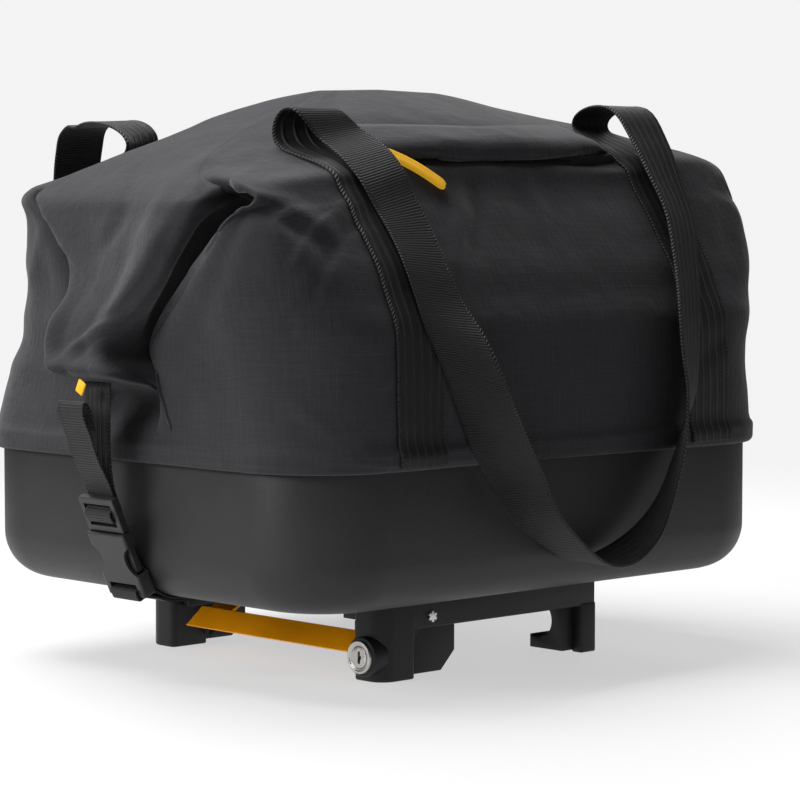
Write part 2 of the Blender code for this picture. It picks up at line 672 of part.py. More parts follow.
def build_buckle(label, side, guide, parts, cutters):
    """The two halves of a side-release buckle, snapped together."""
    half = BUCKLE_DEPTH / 2
    wide = BUCKLE_WIDTH / 2
    slot = END_WEBBING_WIDTH / 2 + 2 * GAP
    male = block(f"buckle_male_{label}", (-FRAME_DEPTH / 2, -wide * 0.94, -FRAME_LENGTH),
                 (FRAME_DEPTH / 2, wide * 0.94, 0.0), parts, "buckle")
    round_edges(male, EDGE / 2)
    slot_height = (FRAME_LENGTH - 3 * BUCKLE_BAR) / 2
    tools = []
    for index in range(2):
        high = -BUCKLE_BAR - index * (BUCKLE_BAR + slot_height)
        hole = block(f"{label}_slot_{index}", (-half * 2, -slot, high - slot_height),
                     (half * 2, slot, high), cutters)
        tools.append((male, hole, "DIFFERENCE"))
    prong_low = -FRAME_LENGTH - SOCKET_LENGTH * 0.62
    for index, place in enumerate((-1, 1)):
        prong = block(f"{label}_prong_{index}",
                      (-FRAME_DEPTH * 0.36, place * (wide - PRONG_WIDTH - BUCKLE_WALL), prong_low),
                      (FRAME_DEPTH * 0.36, place * (wide - BUCKLE_WALL), -FRAME_LENGTH + EDGE),
                      cutters)
        tools.append((male, prong, "UNION"))
    high = -FRAME_LENGTH - GAP
    low = high - SOCKET_LENGTH
    female = block(f"buckle_female_{label}", (-half, -wide, low), (half, wide, high), parts,
                   "buckle")
    round_edges(female)
    throat = block(f"{label}_throat",
                   (-half + BUCKLE_WALL, -wide + BUCKLE_WALL - 2 * GAP,
                    high - SOCKET_LENGTH * 0.68),
                   (half - BUCKLE_WALL, wide - BUCKLE_WALL + 2 * GAP, high + EDGE), cutters)
    tools.append((female, throat, "DIFFERENCE"))
    for index, place in enumerate((-1, 1)):
        window = rod(f"{label}_window_{index}", WINDOW_RADIUS, BUCKLE_DEPTH * 2,
                     (0.0, place * (wide + WINDOW_RADIUS / 3), high - SOCKET_LENGTH * 0.43),
                     "X", cutters)
        tools.append((female, window, "DIFFERENCE"))
    loop = block(f"{label}_loop", (-half * 2, -slot, low + BUCKLE_BAR),
                 (half * 2, slot, low + 2 * BUCKLE_BAR + END_WEBBING), cutters)
    tools.append((female, loop, "DIFFERENCE"))
    for item, tool, operation in tools:
        tool.parent = guide
        combine(item, tool, operation, cutters)
    male.parent = guide
    female.parent = guide
    return low + BUCKLE_BAR / 2


def build_anchor(name, side, guide, bar, parts):
    """The short webbing loop from the buckle's lower bar to the tub's underside."""
    half = BUCKLE_DEPTH / 2 + END_WEBBING / 2 + 1.5 * GAP
    over = BUCKLE_BAR / 2 + END_WEBBING / 2 + 2 * GAP
    to_guide = guide.matrix_world.inverted()
    fillet_x = RIM_HALF_LENGTH - TUB_EDGE_RADIUS
    fillet_z = TUB_BOTTOM + TUB_EDGE_RADIUS

    def under_tub(turn, layer):
        reach = TUB_EDGE_RADIUS + GAP * 3 + END_WEBBING / 2 + layer * (END_WEBBING + GAP)
        spot = Vector((side * (fillet_x + reach * math.sin(math.radians(turn))), 0.0,
                       fillet_z - reach * math.cos(math.radians(turn))))
        spot = to_guide @ spot
        return (side * spot.x, spot.z)

    def flat_end(layer):
        drop = GAP * 3 + END_WEBBING / 2 + layer * (END_WEBBING + GAP)
        spot = to_guide @ Vector((side * (fillet_x - ANCHOR_LENGTH), 0.0, TUB_BOTTOM - drop))
        return (side * spot.x, spot.z)

    path = [
        flat_end(0), under_tub(0, 0), under_tub(18, 0), under_tub(34, 0),
        (-half, bar - over * 0.4), (-half, bar + over * 0.6), (over * 0.35 - half, bar + over),
        (half - over * 0.35, bar + over), (half, bar + over * 0.6), (half, bar - over * 0.6),
        (half - over * 0.35, bar - over), (0.0, bar - over), under_tub(30, 1.6),
        under_tub(16, 1.1), under_tub(0, 1), flat_end(1),
    ]
    return band(name, side, guide, path, parts)


def build_rail(label, side, parts, cutters):
    """One adapter rail: a beam under the tub with a leg at the lever end and a jaw leg."""
    inner = side * RAIL_INNER
    outer = side * (RAIL_INNER + RAIL_WIDTH)
    top = TUB_BOTTOM - GAP
    points = [
        (RAIL_START + RAIL_TOE, 0.0), (RAIL_START + LEVER_LEG - RAIL_TOE, 0.0),
        (RAIL_START + LEVER_LEG, RAIL_TOE), (RAIL_START + LEVER_LEG, RAIL_UNDERSIDE),
        (RAIL_END - JAW_LEG, RAIL_UNDERSIDE), (RAIL_END - JAW_LEG, RAIL_TOE),
        (RAIL_END - JAW_LEG + RAIL_TOE, 0.0), (RAIL_END - RAIL_TOE, 0.0),
        (RAIL_END, RAIL_TOE), (RAIL_END, top), (RAIL_START + RAIL_TOE, top),
        (RAIL_START, top - RAIL_TOE), (RAIL_START, RAIL_TOE),
    ]
    rail = outline(f"adapter_rail_{label}", points, inner, outer, parts, "adapter")
    round_edges(rail)
    jaw = block(f"{label}_jaw", (RAIL_END - JAW_LEG + EDGE, inner + side * EDGE * 2, EDGE),
                (RAIL_END - EDGE, inner - side * JAW_REACH, JAW_HEIGHT), cutters)
    combine(rail, jaw, "UNION", cutters)
    seat = rod(f"{label}_seat", RACK_TUBE_RADIUS, JAW_LEG * 3,
               (RAIL_END - JAW_LEG / 2, inner - side * (JAW_REACH * 0.55),
                JAW_HEIGHT - RACK_TUBE_RADIUS * 0.35), "X", cutters)
    combine(rail, seat, "DIFFERENCE", cutters)
    mouth = block(f"{label}_mouth",
                  (RAIL_END - JAW_LEG * 2, inner - side * (JAW_REACH * 0.55), JAW_HEIGHT * 0.62),
                  (RAIL_END + JAW_LEG, inner - side * JAW_REACH * 1.5, JAW_HEIGHT * 2), cutters)
    combine(rail, mouth, "DIFFERENCE", cutters)
    bore = rod(f"{label}_bore", PIN_RADIUS + GAP, RAIL_WIDTH * 2,
               (LEVER_PIVOT[0], (inner + outer) / 2, LEVER_PIVOT[1]), "Y", cutters)
    combine(rail, bore, "DIFFERENCE", cutters)
    pin_length = RAIL_WIDTH + HOOK_THICKNESS + GAP * 4
    pin = rod(f"pivot_pin_{label}", PIN_RADIUS, pin_length,
              (LEVER_PIVOT[0], outer - side * (pin_length / 2 - GAP), LEVER_PIVOT[1]),
              "Y", parts, "steel")
    round_edges(pin, PIN_RADIUS * 0.15, 1)
    return rail


def build_hook(label, side, parts, cutters):
    """One clamp hook beside a rail, which turns with the lever about the pin."""
    x, z = LEVER_PIVOT
    inner = side * (RAIL_INNER - GAP * 2 - HOOK_THICKNESS)
    outer = side * (RAIL_INNER - GAP * 2)
    back = x + HOOK_BACK
    front = back - HOOK_LENGTH
    arm_low = HOOK_LOW + ARM_RISE
    over_pin = z + PIN_RADIUS + HOOK_BACK / 2
    arm_x, arm_z = LEVER_TOP
    reach = LEVER_THICKNESS * 2
    points = [
        (back - HOOK_LENGTH / 5, HOOK_LOW), (back, HOOK_LOW + HOOK_LENGTH / 3),
        (back, over_pin), (x - HOOK_BACK, over_pin),
        (arm_x + reach / 3, arm_z + reach / 2), (arm_x - reach * 0.75, arm_z - reach / 3),
        (arm_x - reach * 1.1, arm_z - reach * 1.1), (arm_x - reach / 3, arm_low),
        (front - HOOK_LENGTH / 5, arm_low), (front, arm_low - ARM_RISE / 6),
        (front + HOOK_LENGTH / 9, HOOK_LOW + ARM_RISE / 2),
        (front + HOOK_LENGTH * 0.42, HOOK_LOW),
    ]
    points = [(across - x, up - z) for across, up in points]
    hook = outline(f"lever_hook_{label}", points, inner, outer, parts, "adapter")
    hook.location = (x, (inner + outer) / 2, z)
    round_edges(hook, EDGE / 2, 1)
    bore = rod(f"{label}_hook_bore", PIN_RADIUS + GAP, HOOK_THICKNESS * 3,
               (x, (inner + outer) / 2, z), "Y", cutters)
    combine(hook, bore, "DIFFERENCE", cutters)


def build_lever(parts):
    """The orange release plate between the two hooks, with its origin on the pin's axis."""
    x, z = LEVER_PIVOT
    half = RAIL_INNER - GAP * 2 - HOOK_THICKNESS - GAP
    top, low = Vector(LEVER_TOP), Vector(LEVER_LOW)
    along = (low - top).normalized()
    normal = Vector((along.y, -along.x)) * LEVER_THICKNESS / 2
    points = [top + normal, low + normal, low - normal, top - normal]
    points = [(point.x - x, point.y - z) for point in points]
    lever = outline("release_lever", points, -half, half, parts, "orange")
    lever.location = (x, 0.0, z)
    round_edges(lever, LEVER_THICKNESS * 0.3, 2)


def build_lock(parts, cutters):
    """The lock on the front leg: a boss, a metal barrel and a turning plug with a keyway."""
    y, z = LOCK_PLACE
    boss_end = RAIL_START - GAP
    boss = rod("lock_housing", LOCK_BOSS_RADIUS, LOCK_BOSS_LENGTH,
               (boss_end - LOCK_BOSS_LENGTH / 2, y, z), "X", parts, "adapter", 32)
    round_edges(boss, EDGE / 2, 2)
    barrel_end = boss_end - LOCK_BOSS_LENGTH - GAP
    barrel = rod("lock_barrel", LOCK_RADIUS, LOCK_LENGTH,
                 (barrel_end - LOCK_LENGTH / 2, y, z), "X", parts, "steel", 32)
    round_edges(barrel, EDGE, 2)
    well_depth = LOCK_LENGTH - LOCK_FLOOR
    face = barrel_end - LOCK_LENGTH
    well = rod("lock_well", PLUG_RADIUS + GAP, well_depth * 2, (face, y, z), "X", cutters, None, 32)
    combine(barrel, well, "DIFFERENCE", cutters)
    length = well_depth - GAP
    plug = rod("lock_plug", PLUG_RADIUS, length, (face + length / 2, y, z), "X", parts,
               "steel", 32)
    round_edges(plug, EDGE / 3, 1)
    slot = block("keyway", (face - KEYWAY[2], y - KEYWAY[0] / 2, z - KEYWAY[1] / 2),
                 (face + KEYWAY[2] * 0.75, y + KEYWAY[0] / 2, z + KEYWAY[1] / 2), cutters)
    combine(plug, slot, "DIFFERENCE", cutters)


def build_bag():
    """Builds every sub-part of the bag."""
    clear_scene()
    parts = new_collection(NAME)
    cutters = new_collection("cutters")
    build_tub(parts)
    body = build_body(parts)
    skin = skin_of(body)
    build_zip(skin, parts)
    build_handle(skin, "handle_front", -1, parts)
    build_handle(skin, "handle_back", 1, parts)
    for label, side in (("left", -1), ("right", 1)):
        guide = buckle_guide(label, side)
        band(f"end_strap_{label}", side, guide, END_STRAP, parts)
        bar = build_buckle(label, side, guide, parts, cutters)
        build_anchor(f"anchor_loop_{label}", side, guide, bar, parts)
    for label, side in (("front", -1), ("back", 1)):
        build_rail(label, side, parts, cutters)
        build_hook(label, side, parts, cutters)
    build_lever(parts)
    build_lock(parts, cutters)


build_bag()
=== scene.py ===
"""The bicycle rack bag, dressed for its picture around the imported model."""

import math
from collections import namedtuple

import bmesh
import bpy
import numpy as np
from bpy.props import FloatProperty, FloatVectorProperty, PointerProperty
from mathutils import Matrix, Vector, noise
from mathutils.bvhtree import BVHTree


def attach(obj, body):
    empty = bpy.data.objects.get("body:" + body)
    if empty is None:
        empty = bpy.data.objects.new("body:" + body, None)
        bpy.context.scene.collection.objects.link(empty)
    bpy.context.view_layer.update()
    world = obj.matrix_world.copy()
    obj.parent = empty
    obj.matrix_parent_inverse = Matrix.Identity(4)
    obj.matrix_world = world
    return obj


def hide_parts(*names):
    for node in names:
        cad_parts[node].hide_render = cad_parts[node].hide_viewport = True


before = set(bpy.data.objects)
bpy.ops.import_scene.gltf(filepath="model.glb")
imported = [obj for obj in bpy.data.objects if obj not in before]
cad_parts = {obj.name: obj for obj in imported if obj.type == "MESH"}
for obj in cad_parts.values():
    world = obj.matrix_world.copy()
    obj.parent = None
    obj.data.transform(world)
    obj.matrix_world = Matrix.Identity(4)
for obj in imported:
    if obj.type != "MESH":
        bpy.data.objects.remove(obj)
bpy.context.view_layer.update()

bl_info = {
    "name": "Bicycle Rack Bag",
    "version": (1, 0, 0),
    "blender": (4, 5, 0),
    "location": "View3D > Sidebar > Rack Bag",
    "description": "Dresses the packed rack bag with its fabric, webbing, mouldings and lock",
    "category": "Object",
}

# The camera, in metres and degrees, and the picture's side in its own points.
CAMERA_PLACE = (-1.295, -1.386, 0.291)
CAMERA_AZIMUTH = -43.5
CAMERA_ELEVATION = 3.8
CAMERA_LENS = 128.56
SENSOR = 36.0
PICTURE = 800
SCALE = CAMERA_LENS / SENSOR * PICTURE

# The bag's main sizes, the same as in its source.
RIM_HALF_LENGTH = 0.210
RIM_HALF_WIDTH = 0.1717
CORNER_RADIUS = 0.061
SEAM_HEIGHT = 0.1374
TUB_BOTTOM = 0.052
TUB_WALL = 0.003
TUB_EDGE_RADIUS = 0.030
TUB_LIP = 0.012
CROWN_HEIGHT = 0.3705
FABRIC = 0.002
RIM_CLEARANCE = 0.0016
POCKET_DEPTH = 0.055
TUCK_DEPTH = 0.013
FLAP_BULGE = 0.003
FRONT_STATIONS = 11
BACK_STATIONS = 10
HANDLE_SPREAD = 0.130
HANDLE_WIDTH = 0.038
SEWN_TOP = 0.87
FABRIC_LENGTH = RIM_HALF_LENGTH + RIM_CLEARANCE + FABRIC
FABRIC_WIDTH = RIM_HALF_WIDTH + RIM_CLEARANCE + FABRIC
FABRIC_CORNER = CORNER_RADIUS + RIM_CLEARANCE + FABRIC

# One row for each level of the fabric body, as in the bag's source.
Level = namedtuple("Level", "height front_length back_length width front_corner back_corner"
                   " dome power front_fold front_edge back_edge back_fold pocket tuck"
                   " front_reach back_reach")
LEVELS = [Level(*row) for row in (
    (0, 1, 1, 1, 1, 1, 0, 2, -.35, -.2, .2, .35, 0, 0, 0, 0),
    (.062, 1, 1, 1, 1, 1, 0, 2, -.3, -.18, .18, .3, 0, 0, 0, 0),
    (.2, 1, .98, 1, 1.05, 1.15, 0, 2, -.2, -.17, .16, .2, 0, 0, 0, 0),
    (.226, 1, .98, 1, 1.05, 1.2, 0, 2, -.19, -.17, .16, .2, 0, 0, 1.125, 1.125),
    (.294, 1.02, .965, .995, 1.05, 1.35, 0, 2, -.14, -.09, .25, .3, .2, .3, 1.12, 1.115),
    (.367, 1.05, .965, .985, 1, 1.35, 0, 2, -.21, -.13, .26, .31, .5, .9, 1.115, 1.09),
    (.44, 1.07, .965, .94, .9, 1.3, 0, 2, -.34, -.25, .24, .3, .8, 1, 1.12, 1.045),
    (.509, 1.075, .975, .9, .7, 1.15, 0, 2, -.46, -.345, .28, .335, 1, 1, 1.12, 1.015),
    (.573, 1.07, .98, .845, .5, 1, 0, 2, -.57, -.4, .34, .39, 1.15, 1, 1.11, 1.005),
    (.638, 1.05, .98, .785, .35, .75, 0, 2, -.66, -.46, .43, .475, 1.15, 1, 1.09, 1),
    (.689, 1.03, .98, .73, .25, .4, 0, 2, -.72, -.5, .52, .56, .95, .5, 1.07, .99),
    (.723, 1.05, .965, .7, .25, .3, .05, 2, -.62, -.46, .48, .56, .2, 0, 0, 0),
    (.762, .955, .925, .685, .4, .4, .45, 2, -.5, -.34, .36, .5, 0, 0, 0, 0),
    (.805, .875, .88, .655, .5, .5, .75, 1.85, -.4, -.26, .26, .4, 0, 0, 0, 0),
    (.848, .765, .77, .59, .5, .5, .88, 1.85, -.33, -.2, .2, .33, 0, 0, 0, 0),
    (.895, .62, .64, .51, .5, .5, .9, 1.9, -.27, -.16, .16, .27, 0, 0, 0, 0),
    (.942, .455, .475, .355, .4, .4, .9, 2, -.18, -.1, .1, .18, 0, 0, 0, 0),
    (.976, .34, .34, .22, .3, .3, .9, 2, -.1, -.06, .06, .1, 0, 0, 0, 0),
    (.999, .17, .17, .1, .1, .1, .9, 2, -.02, -.01, .01, .02, 0, 0, 0, 0),
)]

# How the dome leans: places along it and how much higher it is there; and the hem's
# section: millimetres over the seam and the share of how far it stands out.
DOME_LEAN = ((0.07, 0.114, 0.174, 0.216), (0.0, 0.005, 0.020, 0.023))
HEM_SHAPE = ((0, 1.4, 3.0, 11.0, 12.6, 14.2, 15.8), (0.3, 0.8, 1.0, 1.0, 0.85, 0.35, 0.0))

# Steps of the fine mesh between one level, or one station, and the next.
LEVEL_STEPS = (11, 9, 3, 6, 8, 8, 8, 8, 8, 7, 5, 6, 6, 6, 6, 6, 5, 4)
STATION_STEPS = (9,) * 10 + (12,) * 9 + (4,) * 9 + (3,) * 9 + (4,) * 9 + (7,) * 10

# The hanging handle's bends: shares along, out and up, and the direction across the webbing.
HANDLE_HANG = (
    (-1.015, .5, .95, 1, 0, 0), (-.93, .555, .912, .98, .05, .15),
    (-.914, .684, .875, .95, .04, .2), (-.9, .756, .84, .93, .08, .22),
    (-.87, .795, .799, .95, .12, .2), (-.86, .855, .758, .97, .08, .05),
    (-.87, .96, .688, .98, .02, -.1), (-.855, 1.005, .642, .97, -.05, -.1),
    (-.835, 1.075, .586, .9, -.38, -.1), (-.765, 1.126, .507, .68, -.68, -.2),
    (-.7, 1.13, .459, .52, -.84, -.05), (-.62, 1.138, .399, .4, -.9, .1),
    (-.51, 1.126, .351, .3, -.94, .1), (-.395, 1.126, .291, .1, -.98, .15),
    (-.235, 1.126, .245, -.1, -.97, .15), (.03, 1.123, .198, -.25, -.95, 0),
    (.175, 1.12, .202, -.42, -.88, -.18), (.34, 1.12, .222, -.55, -.72, -.4),
    (.49, 1.12, .262, -.58, -.64, -.5), (.61, 1.12, .337, -.66, -.69, -.3),
    (.69, 1.12, .415, -.73, -.68, 0), (.74, 1.113, .48, -.84, -.54, .07),
    (.765, 1.09, .54, -.9, -.43, .05), (.8, 1.062, .603, -.93, -.36, .03),
    (.91, .97, .697, -.95, -.3, 0), (.99, .88, .772, -.97, -.18, .2),
    (.99, .805, .832, -.97, -.06, .2), (1.005, .715, .894, -1, 0, .08),
    (1.005, .61, .948, -1, 0, 0),
)

# The back handle's first bends, where it falls away over the dome behind its curl.
BACK_HANG = (
    (-1, .78, .935, 1, 0, .05), (-.99, .835, .938, 1, .02, .08),
    (-.985, .885, .925, .99, .03, .1), (-.97, .925, .892, .98, .03, .1),
    (-.95, .965, .835, .97, 0, .1), (-.915, 1.01, .75, .95, -.15, 0),
    (-.87, 1.05, .665, .9, -.35, -.05), (-.815, 1.08, .58, .8, -.55, -.1),
)
# How far the curls stand up, where along a handle its back turns outwards, and how high
# the left ends are sewn.
CURL_LIFT = 0.0065
HANDLE_TURN = 0.66
FRONT_SEWN_TOP = 0.815
BACK_SEWN_TOP = 0.80

# The end strap's bends from the flap's tip round the buckle's bar to the folded tail: out of
# the buckle's plane and up along it.
END_STRAP = (
    (-.0296, .0638), (-.0182, .0396), (-.0108, .022), (-.0066, .009), (-.0053, .002),
    (-.0052, -.005), (-.005, -.011), (-.004, -.015), (-.0008, -.0166), (.0028, -.0156),
    (.004, -.012), (.0037, -.0092), (.0008, -.007), (-.0024, -.0054), (-.0035, -.003),
    (-.0035, .0012), (-.0036, .006), (-.003, .014), (-.0022, .024), (-.003, .04), (-.005, .059),
    (-.007, .0612), (-.0085, .059), (-.0078, .048), (-.0072, .042),
)
# The zip's line and its cover strip: how far round the dome it reaches, and its padded
# section as a share of that reach and a rise over the cloth.
ZIP_LINE = 0.3245
COVER_RISE = 0.0200
COVER_SHAPE = (
    (.02, .003), (-.03, .0048), (.03, .007), (.14, .0074), (.3, .0062), (.5, .0042), (.7, .0028),
    (.86, .0013), (1, .0001),
)
# How the zip climbs to the right, its teeth, and the dome's radius that turns metres round
# it into an angle.
ZIP_CLIMB = ((0.0, 0.114), (0.0, 0.005))
ZIP_TOOTH = 0.0016
DOME_RADIUS = 0.13
# Where the slider and the puller's ends are seen in the picture, and how high they stand.
SLIDER_SIGHT = (364, 152, 0.0012)
PULLER = ((386, 162, 0.0035), (442, 189, 0.0030))
PULLER_ARCH = Vector((0.0, -0.0018, 0.0022))
PULLER_HALF_WIDTH = 0.0044
PULLER_HALF_DEPTH = 0.0021
# Where the flap's tip is seen, and how far under it its tab hangs.
TAB_SIGHT = (81, 374)
TAB_DROP = 0.0085
# The rack adapter, its lever plate and its lock, in metres.
RAIL_START = -0.098
RAIL_END = 0.090
RAIL_INNER = 0.0886
RAIL_WIDTH = 0.0261
RAIL_UNDERSIDE = 0.031
LEVER_LEG = 0.023
LEG_FRONT = -0.1042
JAW_LEG = 0.027
CHEEK = 0.009
JAW_TOOTH = 0.0035
BLADE_REACH = 0.0135
LEVER_PIVOT = (-0.061, 0.038)
PLATE_TOP = (-0.0970, 0.0295)
PLATE_LOW = (-0.1035, 0.0187)
PLATE_ENDS = (-0.0868, 0.0720)
LOCK_PLACE = (-0.102, 0.016)
LOCK_FACE = -0.1121
# The buckles' place off the rim, their height and their lean in degrees.
BUCKLE_STANDOFF = 0.0245
BUCKLE_TOP = 0.1165
BUCKLE_LEAN = 24.0

# Folds and dents pressed into the fabric, each a line across the picture with its width on
# either side in the picture's points and its height over the cloth in millimetres.
Stroke = namedtuple("Stroke", "left right height points")
STROKES = [Stroke(*row) for row in (
    (14, 2.5, 3, ((32, 187), (52, 223), (74, 259), (90, 286))),
    (18, 3, 5, ((215, 190), (190, 207), (172, 240), (158, 270), (129, 309), (98, 328), (60, 358))),
    (14, 6, 3.5, ((200, 190), (238, 192), (268, 203), (300, 217), (340, 240))),
    (6, 10, -2, ((275, 215), (300, 228), (335, 252))),
    (14, 5, -8, ((230, 205), (202, 230), (177, 270), (157, 312), (145, 340))),
    (7, 7, -2.2, ((139, 162), (131, 190), (118, 225), (98, 255))),
    (6, 3, 1.2, ((48, 210), (38, 245), (28, 300))),
    (5, 9, 1.6, ((264, 152), (230, 157), (190, 166))),
    (5, 9, 1.3, ((262, 135), (230, 145), (170, 185), (140, 240))),
    (9, 5, 1.4, ((366, 190), (340, 205), (310, 235), (290, 270))),
    (5, 9, -1.6, ((372, 215), (345, 235), (325, 265), (312, 305))),
    (8, 8, -1.5, ((265, 412), (290, 420), (318, 440), (345, 450))),
    (6, 6, 1.4, ((285, 410), (310, 418), (335, 436))),
    (11, 7, 2.4, ((452, 178), (460, 215), (456, 270))),
    (8, 12, -2.4, ((474, 178), (478, 220), (470, 268))),
    (9, 9, 1.6, ((520, 176), (538, 205), (548, 240))),
    (2, 4, -1, ((150, 453), (220, 462), (300, 467), (390, 470), (470, 464), (560, 458),
        (640, 452))),
    (9, 6, 1.2, ((700, 180), (712, 215), (716, 260))),
    (8, 6, -1.2, ((725, 330), (708, 350), (690, 372))),
    (4, 6, -5.5, ((364, 158), (420, 157), (500, 156), (560, 158), (636, 164))),
    (5, 3, 1.2, ((60, 360), (75, 372), (100, 376), (128, 370))),
    (3, 4, -2, ((64, 366), (90, 345), (112, 328))),
)]
# Where webbing is laid from one edge to the other, and its section: places across it and
# how thick it is there.
ACROSS = (-1.0, -0.5, 0.0, 0.5, 1.0)
WEB_PLACES = (-1.0, -0.96, -0.90, -0.6, -0.3, 0.0, 0.3, 0.6, 0.90, 0.96, 1.0)
WEB_SWELL = (0.55, 1.12, 1.0, 0.86, 0.86, 0.86, 0.86, 0.86, 1.0, 1.12, 0.55)
# A repeat of the cloth's weave, as a turn of a sine over its metres.
WEAVE = math.tau / 0.00165


def maths(operation, swapped=False):
    """A method that adds one Math node to a shader value."""
    def method(self, *others):
        values = (*others, self) if swapped else (self, *others)
        return self.graph.add("ShaderNodeMath", {"operation": operation},
                              dict(enumerate(values)))
    return method


class Sock:
    """A shader value whose arithmetic adds Math nodes."""

    __add__, __radd__ = maths("ADD"), maths("ADD", True)
    __sub__, __rsub__ = maths("SUBTRACT"), maths("SUBTRACT", True)
    __mul__, __rmul__ = maths("MULTIPLY"), maths("MULTIPLY", True)
    __truediv__, __abs__ = maths("DIVIDE"), maths("ABSOLUTE")
    sine, part = maths("SINE"), maths("FRACT")
    over, most = maths("GREATER_THAN"), maths("MAXIMUM")

    def __init__(self, graph, socket):
        self.graph, self.socket = graph, socket

    def step(self, low, high):
        """A smooth step from 0 at low to 1 at high."""
        return self.graph.add("ShaderNodeMapRange", {"interpolation_type": "SMOOTHSTEP"},
                              {"Value": self, "From Min": low, "From Max": high})


class Graph:
    """One material's nodes."""

    def __init__(self, name):
        self.material = bpy.data.materials.new(name)
        self.material.use_nodes = True
        self.tree = self.material.node_tree
        self.shader = self.tree.nodes["Principled BSDF"]

    def fill(self, node, values):
        """Links or sets a node's inputs."""
        for name, value in values.items():
            if isinstance(value, Sock):
                self.tree.links.new(value.socket, node.inputs[name])
            else:
                node.inputs[name].default_value = value

    def add(self, kind, settings=None, values=None, output=0):
        """A node with its settings first and then its sockets' values or links."""
        node = self.tree.nodes.new(kind)
        for name, value in (settings or {}).items():
            setattr(node, name, value)
        self.fill(node, values or {})
        return Sock(self, node.outputs[output])

    def place(self, stretch=(1.0, 1.0, 1.0), layer=None):
        """Object coordinates or a UV map, stretched."""
        if layer:
            spot = self.add("ShaderNodeUVMap", {"uv_map": layer})
        else:
            spot = self.add("ShaderNodeTexCoord", output="Object")
        return self.add("ShaderNodeVectorMath", {"operation": "MULTIPLY"}, {0: spot, 1: stretch})

    def cloth(self):
        """The cloth's own metres, across and along it."""
        spot = self.place(layer="cloth")
        return [self.add("ShaderNodeSeparateXYZ", None, {0: spot}, axis) for axis in range(2)]

    def noise(self, scale, detail=2.0, roughness=0.5, stretch=(1.0, 1.0, 1.0), layer=None):
        """Noise through the piece, or over its cloth."""
        return self.add("ShaderNodeTexNoise", None,
                        {"Vector": self.place(stretch, layer), "Scale": scale,
                         "Detail": detail, "Roughness": roughness})

    def threads(self, across, along):
        """Noise drawn out one way of the cloth."""
        return self.noise(1.0, stretch=(across, along, 1.0), layer="cloth")

    def mix(self, share, first, second):
        """A colour a share of the way from the first to the second."""
        return self.add("ShaderNodeMix", {"data_type": "RGBA"},
                        {0: share, 6: first, 7: second}, 2)

    def finish(self, colour, roughness, height=None, depth=0.0005, **constants):
        """Joins the surface's colour, roughness and relief to its shader."""
        values = {"Base Color": colour, "Roughness": roughness}
        if height is not None:
            values["Normal"] = self.add("ShaderNodeBump", None,
                                        {"Strength": 1.0, "Distance": depth, "Height": height})
        for name, value in constants.items():
            values[name.replace("_", " ")] = value
        self.fill(self.shader, values)
        return self.material


def shade(colour, share=1.0):
    """A colour made lighter or darker, with its alpha."""
    return (*(channel * share for channel in tuple(colour)[:3]), 1.0)


def ripstop(name, colour):
    """Charcoal ripstop cloth: a fine weave with a doubled thread every few millimetres."""
    graph = Graph(name)
    u, v = graph.cloth()
    weave = (v * WEAVE).sine() * (u * WEAVE).sine() * 0.5 + 0.5
    grid_u, grid_v = (abs((way / 0.0052).part() - 0.5).step(0.40, 0.48) for way in (u, v))
    grid = grid_u.most(grid_v)
    slub = graph.threads(40.0, 900.0) * 0.5 + graph.threads(900.0, 40.0) * 0.5
    patch = graph.noise(9.0, 3.0)
    share = weave * 0.16 + grid * 0.10 + (slub - 0.5) * 1.1 + (patch - 0.5) * 0.7 + 0.36
    tone = graph.mix(share.step(0.0, 1.0), shade(colour, 0.66), shade(colour, 1.34))
    relief = weave * 0.08 + grid * 0.07 + slub * 0.10 + graph.noise(70.0, 3.0, 0.55) * 1.1
    return graph.finish(tone, 0.82 + (patch - 0.5) * 0.12, relief, 0.0009,
                        Sheen_Weight=0.16, Sheen_Roughness=0.4, Specular_IOR_Level=0.2)


def webbing(name, colour, width, turn=9.0):
    """Black webbing, ribbed across its face and striped along its back and past the turn."""
    graph = Graph(name)
    u, v = graph.cloth()
    back = u.over(0.5)
    side = abs(u - back)
    edge = side.step(width / 2 - 0.0022, width / 2 - 0.0014)
    rib = abs((v * (math.pi / 0.0018) + (u * 0.6).sine()).sine())
    twill = ((u * 2.0 + v) * (math.tau / 0.0022)).sine() * 0.5 + 0.5
    rope = ((v + side * 0.9) * (math.tau / 0.0024)).sine() * 0.5 + 0.5
    lines = 1 - abs((side * (math.tau / (width * 0.36))).sine()).step(0.10, 0.62)
    shown = back.most(v.step(turn, turn + 0.10))
    middle = (rib * 0.8 + twill * 0.2) * (1 - shown) + (twill * 0.25 + lines * 1.25) * shown
    relief = middle * (1 - edge) + rope * edge
    fuzz = graph.threads(700.0, 160.0)
    share = (relief * 0.55 + (fuzz - 0.5) * 0.9 + 0.1).step(0.0, 1.0)
    tone = graph.mix(share, shade(colour, 0.55), shade(colour, 1.7))
    return graph.finish(tone, 0.50 + fuzz * 0.16, relief + fuzz * 0.25, 0.0005,
                        Sheen_Weight=0.06, Sheen_Roughness=0.4, Specular_IOR_Level=0.35)


